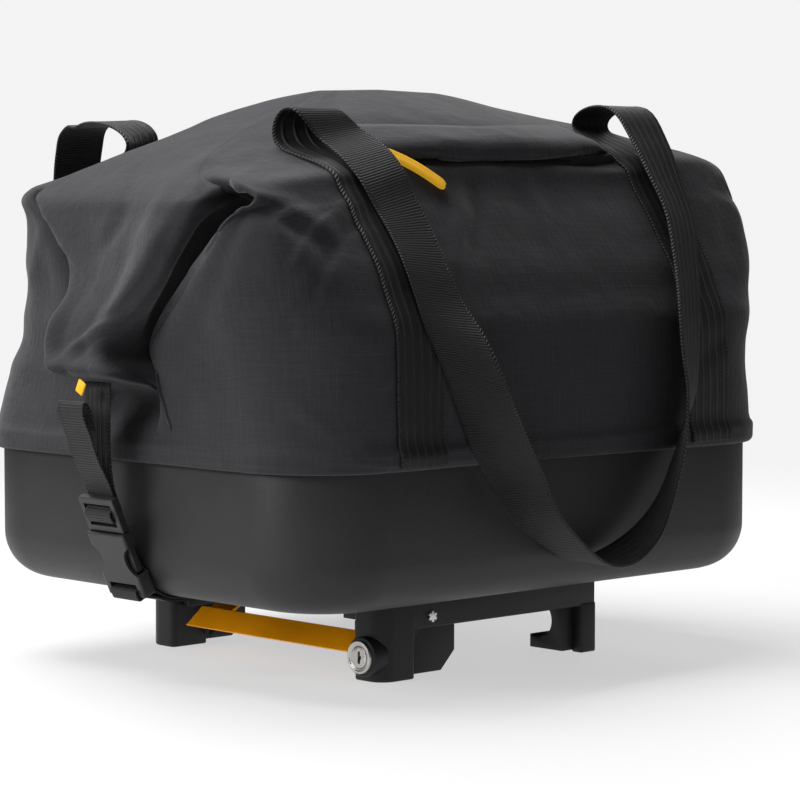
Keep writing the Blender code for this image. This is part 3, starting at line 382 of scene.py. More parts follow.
def moulded(name, colour, roughness, grain=0.00018):
    """Moulded plastic with its fine spark grain, slight flow marks and rubbed edges."""
    graph = Graph(name)
    fine = graph.noise(1500.0, 2.0, 0.6)
    broad = graph.noise(14.0, 3.0)
    streak = graph.noise(1.0, stretch=(20.0, 20.0, 260.0))
    wear = graph.add("ShaderNodeNewGeometry", output="Pointiness").step(0.53, 0.62)
    tone = graph.mix(((fine - 0.5) * 0.8 + (broad - 0.5) * 0.9 + wear * 0.35 + 0.4).step(0, 1),
                     shade(colour, 0.80), shade(colour, 1.30))
    rough = roughness + (broad - 0.5) * 0.14 + (streak - 0.5) * 0.08 + (fine - 0.5) * 0.10
    return graph.finish(tone, rough, fine, grain, Coat_Weight=0.0, Coat_Roughness=0.35,
                        Specular_IOR_Level=0.3)


def enamel(name, colour):
    """Orange powder coat with a faint orange-peel."""
    graph = Graph(name)
    peel, broad = graph.noise(900.0), graph.noise(22.0, 3.0)
    tone = graph.mix((broad * 0.8 + peel * 0.2).step(0.2, 0.8), shade(colour, 0.86),
                     shade(colour, 1.08))
    return graph.finish(tone, 0.34 + (broad - 0.5) * 0.16 + (peel - 0.5) * 0.10, peel, 0.00006,
                        Coat_Weight=0.03, Coat_Roughness=0.3, Specular_IOR_Level=0.10)


def metal(name, colour, roughness):
    """Plated metal with faint turning marks and handling smears."""
    graph = Graph(name)
    turned, smear = graph.noise(1.0, stretch=(60.0, 2400.0, 2400.0)), graph.noise(60.0, 3.0)
    tone = graph.mix(smear.step(0.3, 0.7), shade(colour, 0.9), shade(colour))
    return graph.finish(tone, roughness + (smear - 0.5) * 0.12 + (turned - 0.5) * 0.08,
                        turned, 0.00002, Metallic=1.0)


def glowing_cord(name, colour):
    """The zip puller's woven cord, with a painted glow of its own orange."""
    graph = Graph(name)
    u, v = graph.cloth()
    first, second = ((way * (math.tau / 0.0013)).sine() for way in (u * 1.4 + v, v - u * 1.4))
    braid, fuzz = first * second, graph.noise(1400.0)
    tone = graph.mix((braid * 0.3 + fuzz * 0.7).step(0.1, 0.9), shade(colour, 0.72),
                     shade(colour))
    # Painted glow: the cord gives off light in its own colour, though it is no lamp.
    return graph.finish(tone, 0.62 + (fuzz - 0.5) * 0.2, braid * 0.6 + fuzz * 0.4, 0.0003,
                        Specular_IOR_Level=0.15, Emission_Strength=0.30,
                        Emission_Color=shade(colour))


def paper(name, colour):
    """The studio's seamless pale paper, clear far from the bag."""
    graph = Graph(name)
    soft = graph.noise(2.0)
    tone = graph.mix(soft, shade(colour, 0.995), shade(colour))
    graph.finish(tone, 0.75 + (soft - 0.5) * 0.05, Emission_Strength=0.55,
                 Emission_Color=(1.0, 1.0, 1.0, 1.0))
    reach = graph.add("ShaderNodeVectorMath", {"operation": "LENGTH"}, {0: graph.place()}, 1)
    clear = graph.add("ShaderNodeBsdfTransparent")
    solid = Sock(graph, graph.shader.outputs[0])
    sheet = graph.add("ShaderNodeMixShader", None, {0: reach.step(0.55, 1.6), 1: solid, 2: clear})
    graph.fill(graph.tree.nodes["Material Output"], {0: sheet})
    return graph.material


# Each material's maker, its colour or the finish that gives it, and the rest that it takes.
MATERIALS = {
    "ripstop": (ripstop, "cloth"),
    "handle_webbing": (webbing, "straps", "handle_width", HANDLE_TURN),
    "strap_webbing": (webbing, "straps", "strap_width"),
    "puller_cord": (glowing_cord, "puller"),
    "tub_plastic": (moulded, "tub", 0.46),
    "buckle_plastic": (moulded, "buckle", 0.36, 0.00008),
    "adapter_plastic": (moulded, "adapter", 0.44),
    "lever_enamel": (enamel, "lever"),
    "lock_steel": (metal, "steel", 0.3),
    "screw_zinc": (metal, (0.80, 0.82, 0.84), 0.42),
    "paper": (paper, "floor"),
}


def settings():
    """The scene's sizes and finishes of the bag."""
    scene = bpy.context.scene
    return scene.rack_bag_sizes, scene.rack_bag_finishes


def finished(name):
    """A material made once and shared after that."""
    sizes, finishes = settings()
    maker, colour, *values = MATERIALS[name]
    if isinstance(colour, str):
        colour = getattr(finishes, colour)
    values = [getattr(sizes, value) if isinstance(value, str) else value for value in values]
    return bpy.data.materials.get(name) or maker(name, colour, *values)


def seat(piece, body, slot, material, *nodes):
    """Gives a finished piece its material and its body, and hides the nodes it stands for; its
    slot is not used.
    """
    piece.data.materials.clear()
    piece.data.materials.append(finished(material))
    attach(piece, body)
    if nodes:
        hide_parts(*nodes)


def dress(material, *nodes):
    """Gives CAD nodes a material."""
    for name in nodes:
        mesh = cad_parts[name].data
        mesh.materials.clear()
        mesh.materials.append(finished(material))


def from_mesh(name, points, faces, corners=None):
    """An object from points and faces, with the cloth's own metres at its corners."""
    mesh = bpy.data.meshes.new(name)
    mesh.from_pydata([tuple(point) for point in points], [], faces)
    if corners is not None:
        layer = mesh.uv_layers.new(name="cloth")
        layer.data.foreach_set("uv", np.asarray(corners, dtype=np.float32).ravel())
    mesh.shade_smooth()
    piece = bpy.data.objects.new(name, mesh)
    bpy.context.scene.collection.objects.link(piece)
    return piece


def choose(piece):
    """Makes a piece the only one selected."""
    bpy.ops.object.select_all(action="DESELECT")
    piece.select_set(True)
    bpy.context.view_layer.objects.active = piece


def apply(piece, kind, **settings):
    """Adds a modifier and applies it."""
    choose(piece)
    modifier = piece.modifiers.new(kind.lower(), kind)
    for name, value in settings.items():
        setattr(modifier, name, value)
    bpy.ops.object.modifier_apply(modifier=modifier.name)


def lerp(low, high, share):
    """The value a share of the way from low to high."""
    return low + (high - low) * share


def corner_points(length, width, reach_x, reach_y, power, count=24):
    """Points round one corner of a level, from its side to its end, for a quarter turn."""
    points = []
    for step in range(count + 1):
        turn = math.pi / 2 * step / count
        points.append((length - reach_x + reach_x * math.sin(turn) ** (2 / power),
                       width - reach_y + reach_y * math.cos(turn) ** (2 / power)))
    return points


def level_outline(level):
    """The plain outline of one level's left half, from the front middle to the back."""
    width = level.width * FABRIC_WIDTH
    sides = []
    for share, corner in ((level.front_length, level.front_corner),
                          (level.back_length, level.back_corner)):
        length = share * FABRIC_LENGTH
        round_x = (1 - level.dome) * corner * FABRIC_CORNER + level.dome * length
        round_y = (1 - level.dome) * corner * FABRIC_CORNER + level.dome * width
        sides.append(corner_points(length, width, round_x, round_y, level.power))
    front = [(-x, -y) for x, y in sides[0]]
    back = [(-x, y) for x, y in reversed(sides[1])]
    return [(0.0, -width)] + front + back + [(0.0, width)]


def spread(points, count):
    """Points spaced along a run by its length and by how much it turns."""
    turn_share = 0.07
    marks = [0.0]
    for index in range(1, len(points)):
        here, before = Vector(points[index]), Vector(points[index - 1])
        turn = 0.0
        if index + 1 < len(points):
            after = Vector(points[index + 1])
            if (here - before).length > 1e-7 and (after - here).length > 1e-7:
                turn = abs((here - before).angle_signed(after - here))
        marks.append(marks[-1] + (here - before).length + turn_share * turn)
    wanted = np.linspace(0.0, marks[-1], count)
    flat = np.array([tuple(point) for point in points])
    return [Vector((x, y)) for x, y in zip(np.interp(wanted, marks, flat[:, 0]),
                                           np.interp(wanted, marks, flat[:, 1]))]


def across_at(outline_points, y):
    """X of the outline's end where it passes a given Y."""
    for before, after in zip(outline_points, outline_points[1:]):
        if before[1] <= y <= after[1] and after[1] > before[1]:
            return lerp(before[0], after[0], (y - before[1]) / (after[1] - before[1]))
    return outline_points[-1][0]


def level_points(level):
    """One level's left half with its pocket, end flap and tuck, as plan points."""
    plain = level_outline(level)
    front_fold, front_edge, back_edge, back_fold = (
        share * FABRIC_WIDTH for share in (level.front_fold, level.front_edge,
                                           level.back_edge, level.back_fold))

    def flap_at(share):
        y = lerp(front_edge, back_edge, share)
        reach = lerp(level.front_reach, level.back_reach, share) * FABRIC_LENGTH
        if reach:
            reach += FLAP_BULGE * math.sin(math.pi * share)
        return Vector((min(across_at(plain, y), -reach), y))

    def pocket_at(share, depth):
        y = lerp(front_fold, front_edge, share)
        return Vector((across_at(plain, y) + depth * level.pocket * POCKET_DEPTH, y))

    front = [point for point in plain if point[1] < front_fold]
    front.append((across_at(plain, front_fold), front_fold))
    back = [(across_at(plain, back_fold), back_fold)]
    back += [point for point in plain if point[1] > back_fold]
    tuck_y = lerp(back_edge, back_fold, 0.5)
    tuck = Vector((across_at(plain, tuck_y) + level.tuck * TUCK_DEPTH, tuck_y))
    end = [pocket_at(0.18, 0.72), pocket_at(0.5, 1.0),
           pocket_at(0.85, 1.0).lerp(flap_at(0.0), 0.35),
           flap_at(0.0), flap_at(0.33), flap_at(0.67), flap_at(1.0), tuck]
    return spread(front, FRONT_STATIONS) + end + spread(back, BACK_STATIONS)


def through(values, marks, wanted):
    """Smooth values through known ones at uneven marks, along the first axis."""
    gaps = np.diff(marks)[:, None, None]
    slopes = np.diff(values, axis=0) / gaps
    tangents = np.empty_like(values)
    tangents[1:-1] = (slopes[:-1] * gaps[1:] + slopes[1:] * gaps[:-1]) / (gaps[1:] + gaps[:-1])
    tangents[0], tangents[-1] = slopes[0], slopes[-1]
    place = np.clip(np.searchsorted(marks, wanted, side="right") - 1, 0, len(gaps) - 1)
    gap = gaps[place]
    t = (wanted - marks[place])[:, None, None] / gap
    return ((2 * t ** 3 - 3 * t ** 2 + 1) * values[place]
            + (t ** 3 - 2 * t ** 2 + t) * gap * tangents[place]
            + (3 * t ** 2 - 2 * t ** 3) * values[place + 1]
            + (t ** 3 - t ** 2) * gap * tangents[place + 1])


def running(points):
    """How far along a run of points each of them lies."""
    steps = np.linalg.norm(np.diff(points, axis=0), axis=1)
    return np.concatenate(([0.0], np.cumsum(steps)))


def chords(values):
    """Marks of a run of rows by the mean distance from each to the next."""
    steps = np.linalg.norm(np.diff(values, axis=0), axis=2).mean(axis=1)
    return np.concatenate(([0.0], np.cumsum(steps)))


def stepped(marks, steps):
    """Marks with so many even steps in each span."""
    return np.array([lerp(low, high, step / count)
                     for low, high, count in zip(marks, marks[1:], steps)
                     for step in range(count)])


def camera_axes():
    """The camera's right, up and back directions."""
    turn, rise = math.radians(CAMERA_AZIMUTH), math.radians(CAMERA_ELEVATION)
    back = Vector((math.sin(turn) * math.cos(rise), -math.cos(turn) * math.cos(rise),
                   math.sin(rise)))
    right = Vector((math.cos(turn), math.sin(turn), 0.0))
    return right, back.cross(right), back


def seen(points):
    """Where points stand in the picture, in its own points."""
    axes = np.array([tuple(axis) for axis in camera_axes()])
    local = (points - np.array(CAMERA_PLACE)) @ axes.T
    return np.stack((PICTURE / 2 + SCALE * local[..., 0] / -local[..., 2],
                     PICTURE / 2 - SCALE * local[..., 1] / -local[..., 2]), axis=-1)


def grid_normals(grid):
    """Outward directions of a grid of rows that run round the bag."""
    round_way = np.roll(grid, -1, axis=1) - np.roll(grid, 1, axis=1)
    up_way = np.gradient(grid, axis=0)
    normals = np.cross(up_way, round_way)
    return normals / np.maximum(np.linalg.norm(normals, axis=2, keepdims=True), 1e-12)


def press(grid, strokes):
    """Presses folds and dents into the side of the cloth that the camera sees."""
    normals = grid_normals(grid)
    spots = seen(grid)
    facing = np.clip((normals @ np.array(tuple(camera_axes()[2])) - 0.02) / 0.2, 0.0, 1.0)
    total = np.zeros(grid.shape[:2])
    for stroke in strokes:
        line = np.array(stroke.points, dtype=float)
        starts = running(line)
        near = np.full(grid.shape[:2], 1e9)
        side = np.zeros(grid.shape[:2])
        place = np.zeros(grid.shape[:2])
        for start, end, before, length in zip(line, line[1:], starts, np.diff(starts)):
            way = (end - start) / length
            offset = spots - start
            along = np.clip(offset @ way, 0.0, length)
            gap = np.linalg.norm(offset - along[..., None] * way, axis=-1)
            closer = gap < near
            near = np.where(closer, gap, near)
            turn = way[0] * offset[..., 1] - way[1] * offset[..., 0]
            side = np.where(closer, turn, side)
            place = np.where(closer, (before + along) / starts[-1], place)
        width = np.where(side > 0, stroke.right, stroke.left)
        taper = np.sqrt(np.clip(np.sin(np.pi * np.clip(place, 0.02, 0.98)), 0.0, 1.0))
        total += stroke.height / 1000 * np.exp(-(near / width) ** 2) * taper
    return grid + normals * (total * facing)[..., None]


def bag_grid(sizes):
    """The cloth's fine grid: rows up the bag, each running round it from the front."""
    rise = CROWN_HEIGHT - SEAM_HEIGHT
    rows = []
    for level in LEVELS:
        half = [(point.x, point.y) for point in level_points(level)]
        half[0], half[-1] = (0.0, half[0][1]), (0.0, half[-1][1])
        ring = half + [(-x, y) for x, y in reversed(half[1:-1])]
        rows.append([(x, y, SEAM_HEIGHT + level.height * rise) for x, y in ring])
    rows = np.array(rows)
    marks = chords(rows)
    fine = through(rows, marks, np.append(stepped(marks, LEVEL_STEPS), marks[-1]))
    ring = fine.transpose(1, 0, 2)
    count = len(ring)
    wrapped = np.concatenate((ring[-3:], ring, ring[:4]))
    marks = chords(wrapped)
    wanted = stepped(marks[3:count + 4], STATION_STEPS)
    grid = through(wrapped, marks, wanted).transpose(1, 0, 2)
    x, z = grid[..., 0], grid[..., 2]
    lift = np.interp(x, *DOME_LEAN)
    share = np.clip((z - 0.25) / 0.08, 0.0, 1.0)
    grid[..., 2] += lift * share * share * (3 - 2 * share)
    grid[..., 0] -= 0.008 * np.clip((x - 0.12) / 0.08, 0, 1) * np.clip((z - 0.17) / 0.06, 0, 1)
    grid = relaxed(grid)
    z = grid[..., 2]
    hem = np.interp((z - SEAM_HEIGHT) * 1000, *HEM_SHAPE) * sizes.hem_proud
    return grid + grid_normals(grid) * hem[..., None]


def relaxed(grid, rounds=18):
    """The cloth let go a little, most over the dome, so that no row laps the next."""
    for _ in range(rounds):
        sides = np.roll(grid, 1, axis=1) + np.roll(grid, -1, axis=1)
        ends = np.concatenate((grid[1:2], grid[:-2] + grid[2:], grid[-2:-1]))
        ends[0] *= 2
        ends[-1] *= 2
        weight = np.clip((grid[..., 2:] - 0.296) / 0.016, 0.06, 0.7)
        weight[:14] = 0.0
        weight[-4:] = 0.4
        grid = grid + ((sides + ends) / 4 - grid) * weight
    return grid


def rumple(grid, amount):
    """Small uneven waves that worn cloth keeps."""
    normals = grid_normals(grid)
    waves = np.array([[noise.noise(Vector(point) * 26.0)
                       + 0.45 * noise.noise(Vector(point) * 62.0)
                       for point in row] for row in grid])
    share = np.clip(np.linspace(0.0, 10.0, len(grid)), 0.0, 1.0)[:, None]
    return grid + normals * (waves * amount * share)[..., None]


def cloth_faces(flat):
    """The cloth's faces and its metres at their corners: across from the middle and up."""
    rows, count = flat.shape[:2]
    steps = np.linalg.norm(np.roll(flat, -1, axis=1) - flat, axis=2)
    ahead = np.concatenate((np.zeros((rows, 1)), np.cumsum(steps, axis=1)), axis=1)
    rises = np.linalg.norm(np.diff(flat, axis=0), axis=2)
    up = np.concatenate((np.zeros((1, count)), np.cumsum(rises, axis=0)))
    up = np.concatenate((up, up[:, :1]), axis=1)
    left_seam, back, right_seam = (sum(STATION_STEPS[:place]) for place in (19, 28, 37))
    faces, corners = [], []
    for row in range(rows - 1):
        for k in range(count):
            after, base = (k + 1) % count, row * count
            faces.append((base + after, base + k, base + count + k, base + count + after))
            for line, place in ((row, k + 1), (row, k), (row + 1, k), (row + 1, k + 1)):
                across = ahead[line, place]
                if k >= right_seam:
                    across -= ahead[line, -1]
                elif k >= left_seam:
                    across += 2.0 - ahead[line, back]
                corners.append((across, up[line, place]))
    return faces, corners


class BagSizes(bpy.types.PropertyGroup):
    """Sizes of the bag that a user may change."""

    hem_proud: FloatProperty(name="Hem Stands Proud", default=0.003, unit="LENGTH",
                             description="How far the hem stands out over the tub's wall")
    rumple: FloatProperty(name="Rumple", default=0.0007, unit="LENGTH",
                          description="Height of the small waves in the cloth")
    handle_width: FloatProperty(name="Handle Width", default=HANDLE_WIDTH, unit="LENGTH",
                                description="Width of the handles' webbing")
    handle_thickness: FloatProperty(name="Handle Thickness", default=0.0018, unit="LENGTH",
                                    description="Thickness of the handles' webbing")
    strap_width: FloatProperty(name="End Strap Width", default=0.025, unit="LENGTH",
                               description="Width of the end straps' webbing")
    strap_thickness: FloatProperty(name="End Strap Thickness", default=0.0014, unit="LENGTH",
                                   description="Thickness of the end straps' webbing")


class BagFinishes(bpy.types.PropertyGroup):
    """Colours of the bag that a user may change."""

    cloth: FloatVectorProperty(name="Cloth", subtype="COLOR", default=(0.030, 0.029, 0.033),
                               description="Colour of the ripstop cloth")
    straps: FloatVectorProperty(name="Webbing", subtype="COLOR", default=(0.0072, 0.0072, 0.0080),
                                description="Colour of the webbing")
    tub: FloatVectorProperty(name="Tub", subtype="COLOR", default=(0.023, 0.023, 0.0235),
                             description="Colour of the moulded tub")
    buckle: FloatVectorProperty(name="Buckle", subtype="COLOR", default=(0.020, 0.020, 0.022),
                                description="Colour of the buckles")
    adapter: FloatVectorProperty(name="Adapter", subtype="COLOR", default=(0.012, 0.012, 0.013),
                                 description="Colour of the rack adapter")
    lever: FloatVectorProperty(name="Lever", subtype="COLOR", default=(1.0, 0.37, 0.002),
                               description="Colour of the release lever")
    # The puller colour also tints the painted glow of the puller and the tab.
    puller: FloatVectorProperty(name="Puller", subtype="COLOR", default=(1.0, 0.53, 0.03),
                                description="Colour of the zip's puller and the flap's tab")
    steel: FloatVectorProperty(name="Lock", subtype="COLOR", default=(0.62, 0.60, 0.57),
                               description="Colour of the lock and the pins")
    floor: FloatVectorProperty(name="Floor", subtype="COLOR", default=(0.30, 0.30, 0.30),
                               description="Colour of the studio's paper")


def skin():
    """The finished cloth's surface, for what is sewn on it."""
    body = bpy.data.objects["bag_cloth"]
    return BVHTree.FromPolygons([vertex.co for vertex in body.data.vertices],
                                [tuple(face.vertices) for face in body.data.polygons])


def raised(hit, way, rise):
    """A point above the cloth where a ray met it, on the side that looks a given way."""
    spot, normal = hit[:2]
    return spot + normal * (-rise if normal.dot(way) < 0 else rise)


def on_skin(tree, x, angle, rise):
    """A point above the cloth, seen from the bag's middle at an angle over the front."""
    middle = Vector((x, 0.0, (SEAM_HEIGHT + CROWN_HEIGHT) / 2))
    outward = Vector((0.0, -math.cos(angle), math.sin(angle)))
    return raised(tree.ray_cast(middle + outward * CROWN_HEIGHT, -outward), outward, rise)


def on_sight(tree, across, down, rise):
    """A point above the cloth where it is seen at a place in the picture."""
    right, up, back = camera_axes()
    ray = right * (across - PICTURE / 2) / SCALE - up * (down - PICTURE / 2) / SCALE - back
    return raised(tree.ray_cast(Vector(CAMERA_PLACE), ray.normalized()), back, rise)


def angle_at(tree, x, height):
    """The angle over the front at which the cloth stands at a given height."""
    low = math.atan2((SEAM_HEIGHT - CROWN_HEIGHT) / 2 + 0.002, FABRIC_WIDTH)
    high = math.radians(88)
    for _ in range(24):
        middle = (low + high) / 2
        if on_skin(tree, x, middle, 0.0).z < height:
            low = middle
        else:
            high = middle
    return low


def closed(name, rings, starts, ends, runs, turned=False):
    """A closed piece through rings of points, with the cloth's metres round and along it."""
    count, around = rings.shape[:2]
    faces, corners = [], []
    for row in range(count - 1):
        for k in range(around):
            base, after = row * around, (k + 1) % around
            faces.append((base + k, base + after, base + around + after, base + around + k))
            corners += [(starts[k], runs[row]), (ends[k], runs[row]),
                        (ends[k], runs[row + 1]), (starts[k], runs[row + 1])]
    faces += [tuple(reversed(range(around))), tuple(range((count - 1) * around, count * around))]
    corners += [(0.0, 0.0)] * around + [(0.0, 0.0 if turned else runs[-1])] * around
    if turned:
        corners = [corner[::-1] for corner in corners]
    piece = from_mesh(name, rings.reshape(-1, 3), faces, corners)
    bm = bmesh.new()
    bm.from_mesh(piece.data)
    if bm.calc_volume(signed=True) < 0:
        bmesh.ops.reverse_faces(bm, faces=bm.faces)
        bm.to_mesh(piece.data)
    bm.free()
    return piece


def tube(name, rounds):
    """A closed piece through rings of points, its cloth running along it."""
    rings = np.array([[tuple(point) for point in ring] for ring in rounds])
    middle = rings[len(rings) // 2]
    girth = running(np.vstack((middle, middle[:1])))
    return closed(name, rings, girth[:-1], girth[1:], running(rings[:, 0]), True)


def strap(name, rows, thickness):
    """Flat webbing along rows of points across it, with rounded, slightly thicker edges."""
    values = np.array([[tuple(point) for point in row] for row in rows])
    marks = chords(values)
    fine = through(values, marks, np.append(stepped(marks, (5,) * (len(rows) - 1)), marks[-1]))
    middle, across = fine[:, len(ACROSS) // 2], fine[:, -1] - fine[:, 0]
    width = np.linalg.norm(across, axis=1)
    normal = np.cross(np.gradient(middle, axis=0), across)
    normal /= np.linalg.norm(normal, axis=1, keepdims=True)
    places, swell = np.array(WEB_PLACES), np.array(WEB_SWELL)
    base = np.array([[[np.interp(place, ACROSS, track) for track in row.T] for place in places]
                     for row in fine])
    half = normal[:, None] * (thickness / 2 * swell)[None, :, None]
    tip = across / width[:, None] * thickness * 0.18
    rings = np.concatenate((base + half, (base[:, -1] + tip)[:, None], (base - half)[:, ::-1],
                            (base[:, 0] - tip)[:, None]), axis=1)
    edge = width.mean() / 2
    starts = np.concatenate((places * edge, [edge], 1.0 + places[::-1] * edge, [1.0 - edge]))
    ends = np.roll(starts, -1)
    starts[len(places)], starts[-1] = 1.0 + edge, -edge
    return closed(name, rings, starts, ends, running(middle))


def sewn_rows(tree, x, width, thickness, top=SEWN_TOP):
    """Rows of a handle's sewn end, from the seam up to the dome."""
    return [[on_skin(tree, place, angle_at(tree, place, height), thickness / 2 + 0.0006)
             for place in np.linspace(x - width / 2, x + width / 2, len(ACROSS))]
            for height in np.linspace(SEAM_HEIGHT + 0.0035,
                                      lerp(SEAM_HEIGHT, CROWN_HEIGHT, top), 34)]


def curl_rows(sewn, free):
    """Rows of the half turn between a sewn end and the hanging part."""
    start, end = sewn[-1], free[0]
    lift = (start[2] - sewn[-2][2]).normalized() * (end[2] - start[2]).length / 2
    return [[a.lerp(b, (1 - math.cos(turn)) / 2) + lift * math.sin(turn)
             for a, b in zip(start, end)] for turn in np.arange(1, 8) * math.pi / 8]


class RACKBAG_OT_cloth(bpy.types.Operator):
    """Builds the ripstop body, lofted, pressed with its folds and given its hem"""

    bl_idname = "rackbag.cloth"
    bl_label = "Fabric Body"

    def execute(self, context):
        sizes, _ = settings()
        flat = bag_grid(sizes)
        faces, corners = cloth_faces(flat)
        grid = rumple(press(flat, STROKES), sizes.rumple)
        rows, count = grid.shape[:2]
        points = [*(tuple(point) for point in grid.reshape(-1, 3)), (0.0, 0.0, CROWN_HEIGHT)]
        last = (rows - 1) * count
        for k in range(count):
            after = (k + 1) % count
            faces.append((last + after, last + k, len(points) - 1))
            corners += [(grid[-1, after, 0], 0.5 + grid[-1, after, 1]),
                        (grid[-1, k, 0], 0.5 + grid[-1, k, 1]), (0.0, 0.5)]
        body = from_mesh("bag_cloth", points, faces, corners)
        apply(body, "SOLIDIFY", thickness=0.0016, offset=-1.0, use_even_offset=False)
        body.data.shade_smooth()
        seat(body, "bag", "fabric", "ripstop", "bag_body")
        return {"FINISHED"}


class RACKBAG_OT_handles(bpy.types.Operator):
    """Builds the two webbing handles, sewn up the bag, curled over and hanging"""

    bl_idname = "rackbag.handles"
    bl_label = "Handles"

    def execute(self, context):
        sizes, _ = settings()
        tree = skin()
        width, thickness = sizes.handle_width, sizes.handle_thickness
        for label, side, hang, top in (
                ("front", 1.0, HANDLE_HANG, FRONT_SEWN_TOP),
                ("back", -1.0, BACK_HANG + HANDLE_HANG[9:], BACK_SEWN_TOP)):
            free = []
            for along, out, height, *turn in hang:
                lift = CURL_LIFT * np.interp(along, (0.5, 0.9), (0.0, 1.0))
                lift *= np.interp(height, (0.7, 0.9), (0.0, 1.0))
                centre = Vector((along * HANDLE_SPREAD, -out * RIM_HALF_WIDTH,
                                 height * CROWN_HEIGHT + lift))
                reach = Vector(turn).normalized() * width / 2
                free.append([centre + reach * share for share in ACROSS])
            left = sewn_rows(tree, -HANDLE_SPREAD, width, thickness, top)
            right = [row[::-1] for row in sewn_rows(tree, HANDLE_SPREAD, width, thickness)]
            rows = (left + curl_rows(left, free) + free
                    + curl_rows(right, free[::-1])[::-1] + right[::-1])
            rows = [[Vector((point.x, side * point.y, point.z)) for point in row]
                    for row in rows]
            seat(strap(f"handle_{label}_webbing", rows, thickness), "bag", "webbing",
                 "handle_webbing", f"handle_{label}")
        return {"FINISHED"}


class RACKBAG_OT_end_straps(bpy.types.Operator):
    """Builds the straps that hold the end flaps down, round their buckles' bars"""

    bl_idname = "rackbag.end_straps"
    bl_label = "End Straps"

    def execute(self, context):
        sizes, _ = settings()
        for label, side in (("left", -1), ("right", 1)):
            place = Matrix.Translation((side * (RIM_HALF_LENGTH + BUCKLE_STANDOFF), 0.0,
                                        BUCKLE_TOP))
            place = place @ Matrix.Rotation(side * math.radians(BUCKLE_LEAN), 4, "Y")
            rows = [[place @ Vector((side * out, share * sizes.strap_width / 2, up))
                     for share in ACROSS] for out, up in END_STRAP]
            seat(strap(f"end_strap_{label}_webbing", rows, sizes.strap_thickness), "bag",
                 "webbing", "strap_webbing", f"end_strap_{label}")
        dress("strap_webbing", "anchor_loop_left", "anchor_loop_right")
        # The flap's tab takes the cord's material, painted glow and all.
        spot = on_sight(skin(), *TAB_SIGHT, -0.001) - Vector((0.0, 0.0, TAB_DROP))
        tab = box("flap_tab", spot - Vector((0.0016, 0.0030, 0.0042)),
                  spot + Vector((0.0, 0.0040, 0.0042)), (math.radians(28), 0.0, 0.0))
        seat(soften(tab, 0.0008), "bag", "orange", "puller_cord")
        return {"FINISHED"}


def zip_angle(tree, x, rise):
    """The angle over the front of a line above the zip's, which climbs to the right."""
    return angle_at(tree, x, ZIP_LINE + np.interp(x, *ZIP_CLIMB) + rise)


class RACKBAG_OT_zip(bpy.types.Operator):
    """Builds the zip behind its padded cover strip, and its slider and cord puller"""

    bl_idname = "rackbag.zip"
    bl_label = "Zip"

    def execute(self, context):
        tree = skin()
        reach = HANDLE_SPREAD - HANDLE_WIDTH / 2 - 0.001
        self.cover(tree, reach)
        coarse = np.linspace(-reach, reach, 41)
        angles = [zip_angle(tree, x, -0.003) for x in coarse]
        rounds = []
        for x in np.linspace(-reach, reach, 601):
            tooth = 0.0003 + 0.0006 * abs(math.sin(math.pi * x / ZIP_TOOTH))
            section = ((-0.0055, 0.0003), (-0.0055, 0.0009), (-0.0016, 0.0009),
                       (-0.0011, 0.0012 + tooth), (0.0, 0.0014 + tooth),
                       (0.0011, 0.0012 + tooth), (0.0016, 0.0009), (0.0035, 0.0009),
                       (0.0035, 0.0003))
            middle = np.interp(x, coarse, angles)
            rounds.append([on_skin(tree, x, middle + along / DOME_RADIUS, rise)
                           for along, rise in section])
        seat(tube("zip_tape_and_teeth", rounds), "bag", "webbing", "strap_webbing", "zip_tape")
        slider = box("zip_slider_body", (-0.005, -0.0035, -0.0015), (0.005, 0.0035, 0.0015))
        apply(slider, "BEVEL", width=0.0008, segments=3)
        slider.location = on_sight(tree, *SLIDER_SIGHT)
        bpy.ops.object.transform_apply(location=True, rotation=True, scale=True)
        seat(slider, "bag", "steel", "lock_steel", "zip_slider")
        self.pull(tree)
        return {"FINISHED"}

    def cover(self, tree, reach):
        """The padded strip of cloth over the zip."""
        rounds = []
        for x in np.linspace(-reach, reach, 81):
            low, high = zip_angle(tree, x, -0.0015), zip_angle(tree, x, COVER_RISE)
            end = min((reach - abs(x)) / 0.016, 1.0)
            full = lerp(0.25, 1.0, end * (2 - end)) * (1 + 0.10 * math.sin(x * 95))
            section = [(share, 0.0002 + rise * full) for share, rise in COVER_SHAPE]
            section += [(share, 0.0001 + 0.3 * rise * full)
                        for share, rise in reversed(COVER_SHAPE[1:-1])]
            rounds.append([on_skin(tree, x, lerp(low, high, share), rise)
                           for share, rise in section])
        seat(tube("zip_cover_cloth", rounds), "bag", "fabric", "ripstop", "zip_placket")

    def pull(self, tree):
        """The flat cord puller, with a groove down both faces and a rounded tip."""
        first, last = (on_sight(tree, *sight) for sight in PULLER)
        first += (first - last) * 0.35
        fine = np.array([tuple(first.lerp(last, share) + PULLER_ARCH * math.sin(math.pi * share))
                         for share in np.linspace(0.0, 1.0, 41)])
        axes = np.gradient(fine, axis=0)
        axes /= np.linalg.norm(axes, axis=1, keepdims=True)
        side = np.cross(axes, np.array((0.0, -0.75, 0.66)))
        side /= np.linalg.norm(side, axis=1, keepdims=True)
        out = np.cross(side, axes)
        rounds = []
        for k in range(len(fine)):
            end = math.sqrt(max(1 - max((k - len(fine) + 4) / 4, 0.0) ** 2, 0.04))
            section = []
            for turn in np.arange(24) * math.tau / 24:
                wide, deep = (math.copysign(abs(value) ** power, value) for value, power in
                              ((math.cos(turn), 0.8), (math.sin(turn), 0.7)))
                wide *= PULLER_HALF_WIDTH
                deep *= PULLER_HALF_DEPTH * (1.0 - 0.45 * math.exp(-(wide / 0.0010) ** 2))
                section.append(fine[k] + side[k] * wide * end + out[k] * deep * end)
            rounds.append(section)
        # The puller's material gives it a painted glow.
        seat(tube("zip_puller_cord", rounds), "bag", "orange", "puller_cord", "zip_pull")


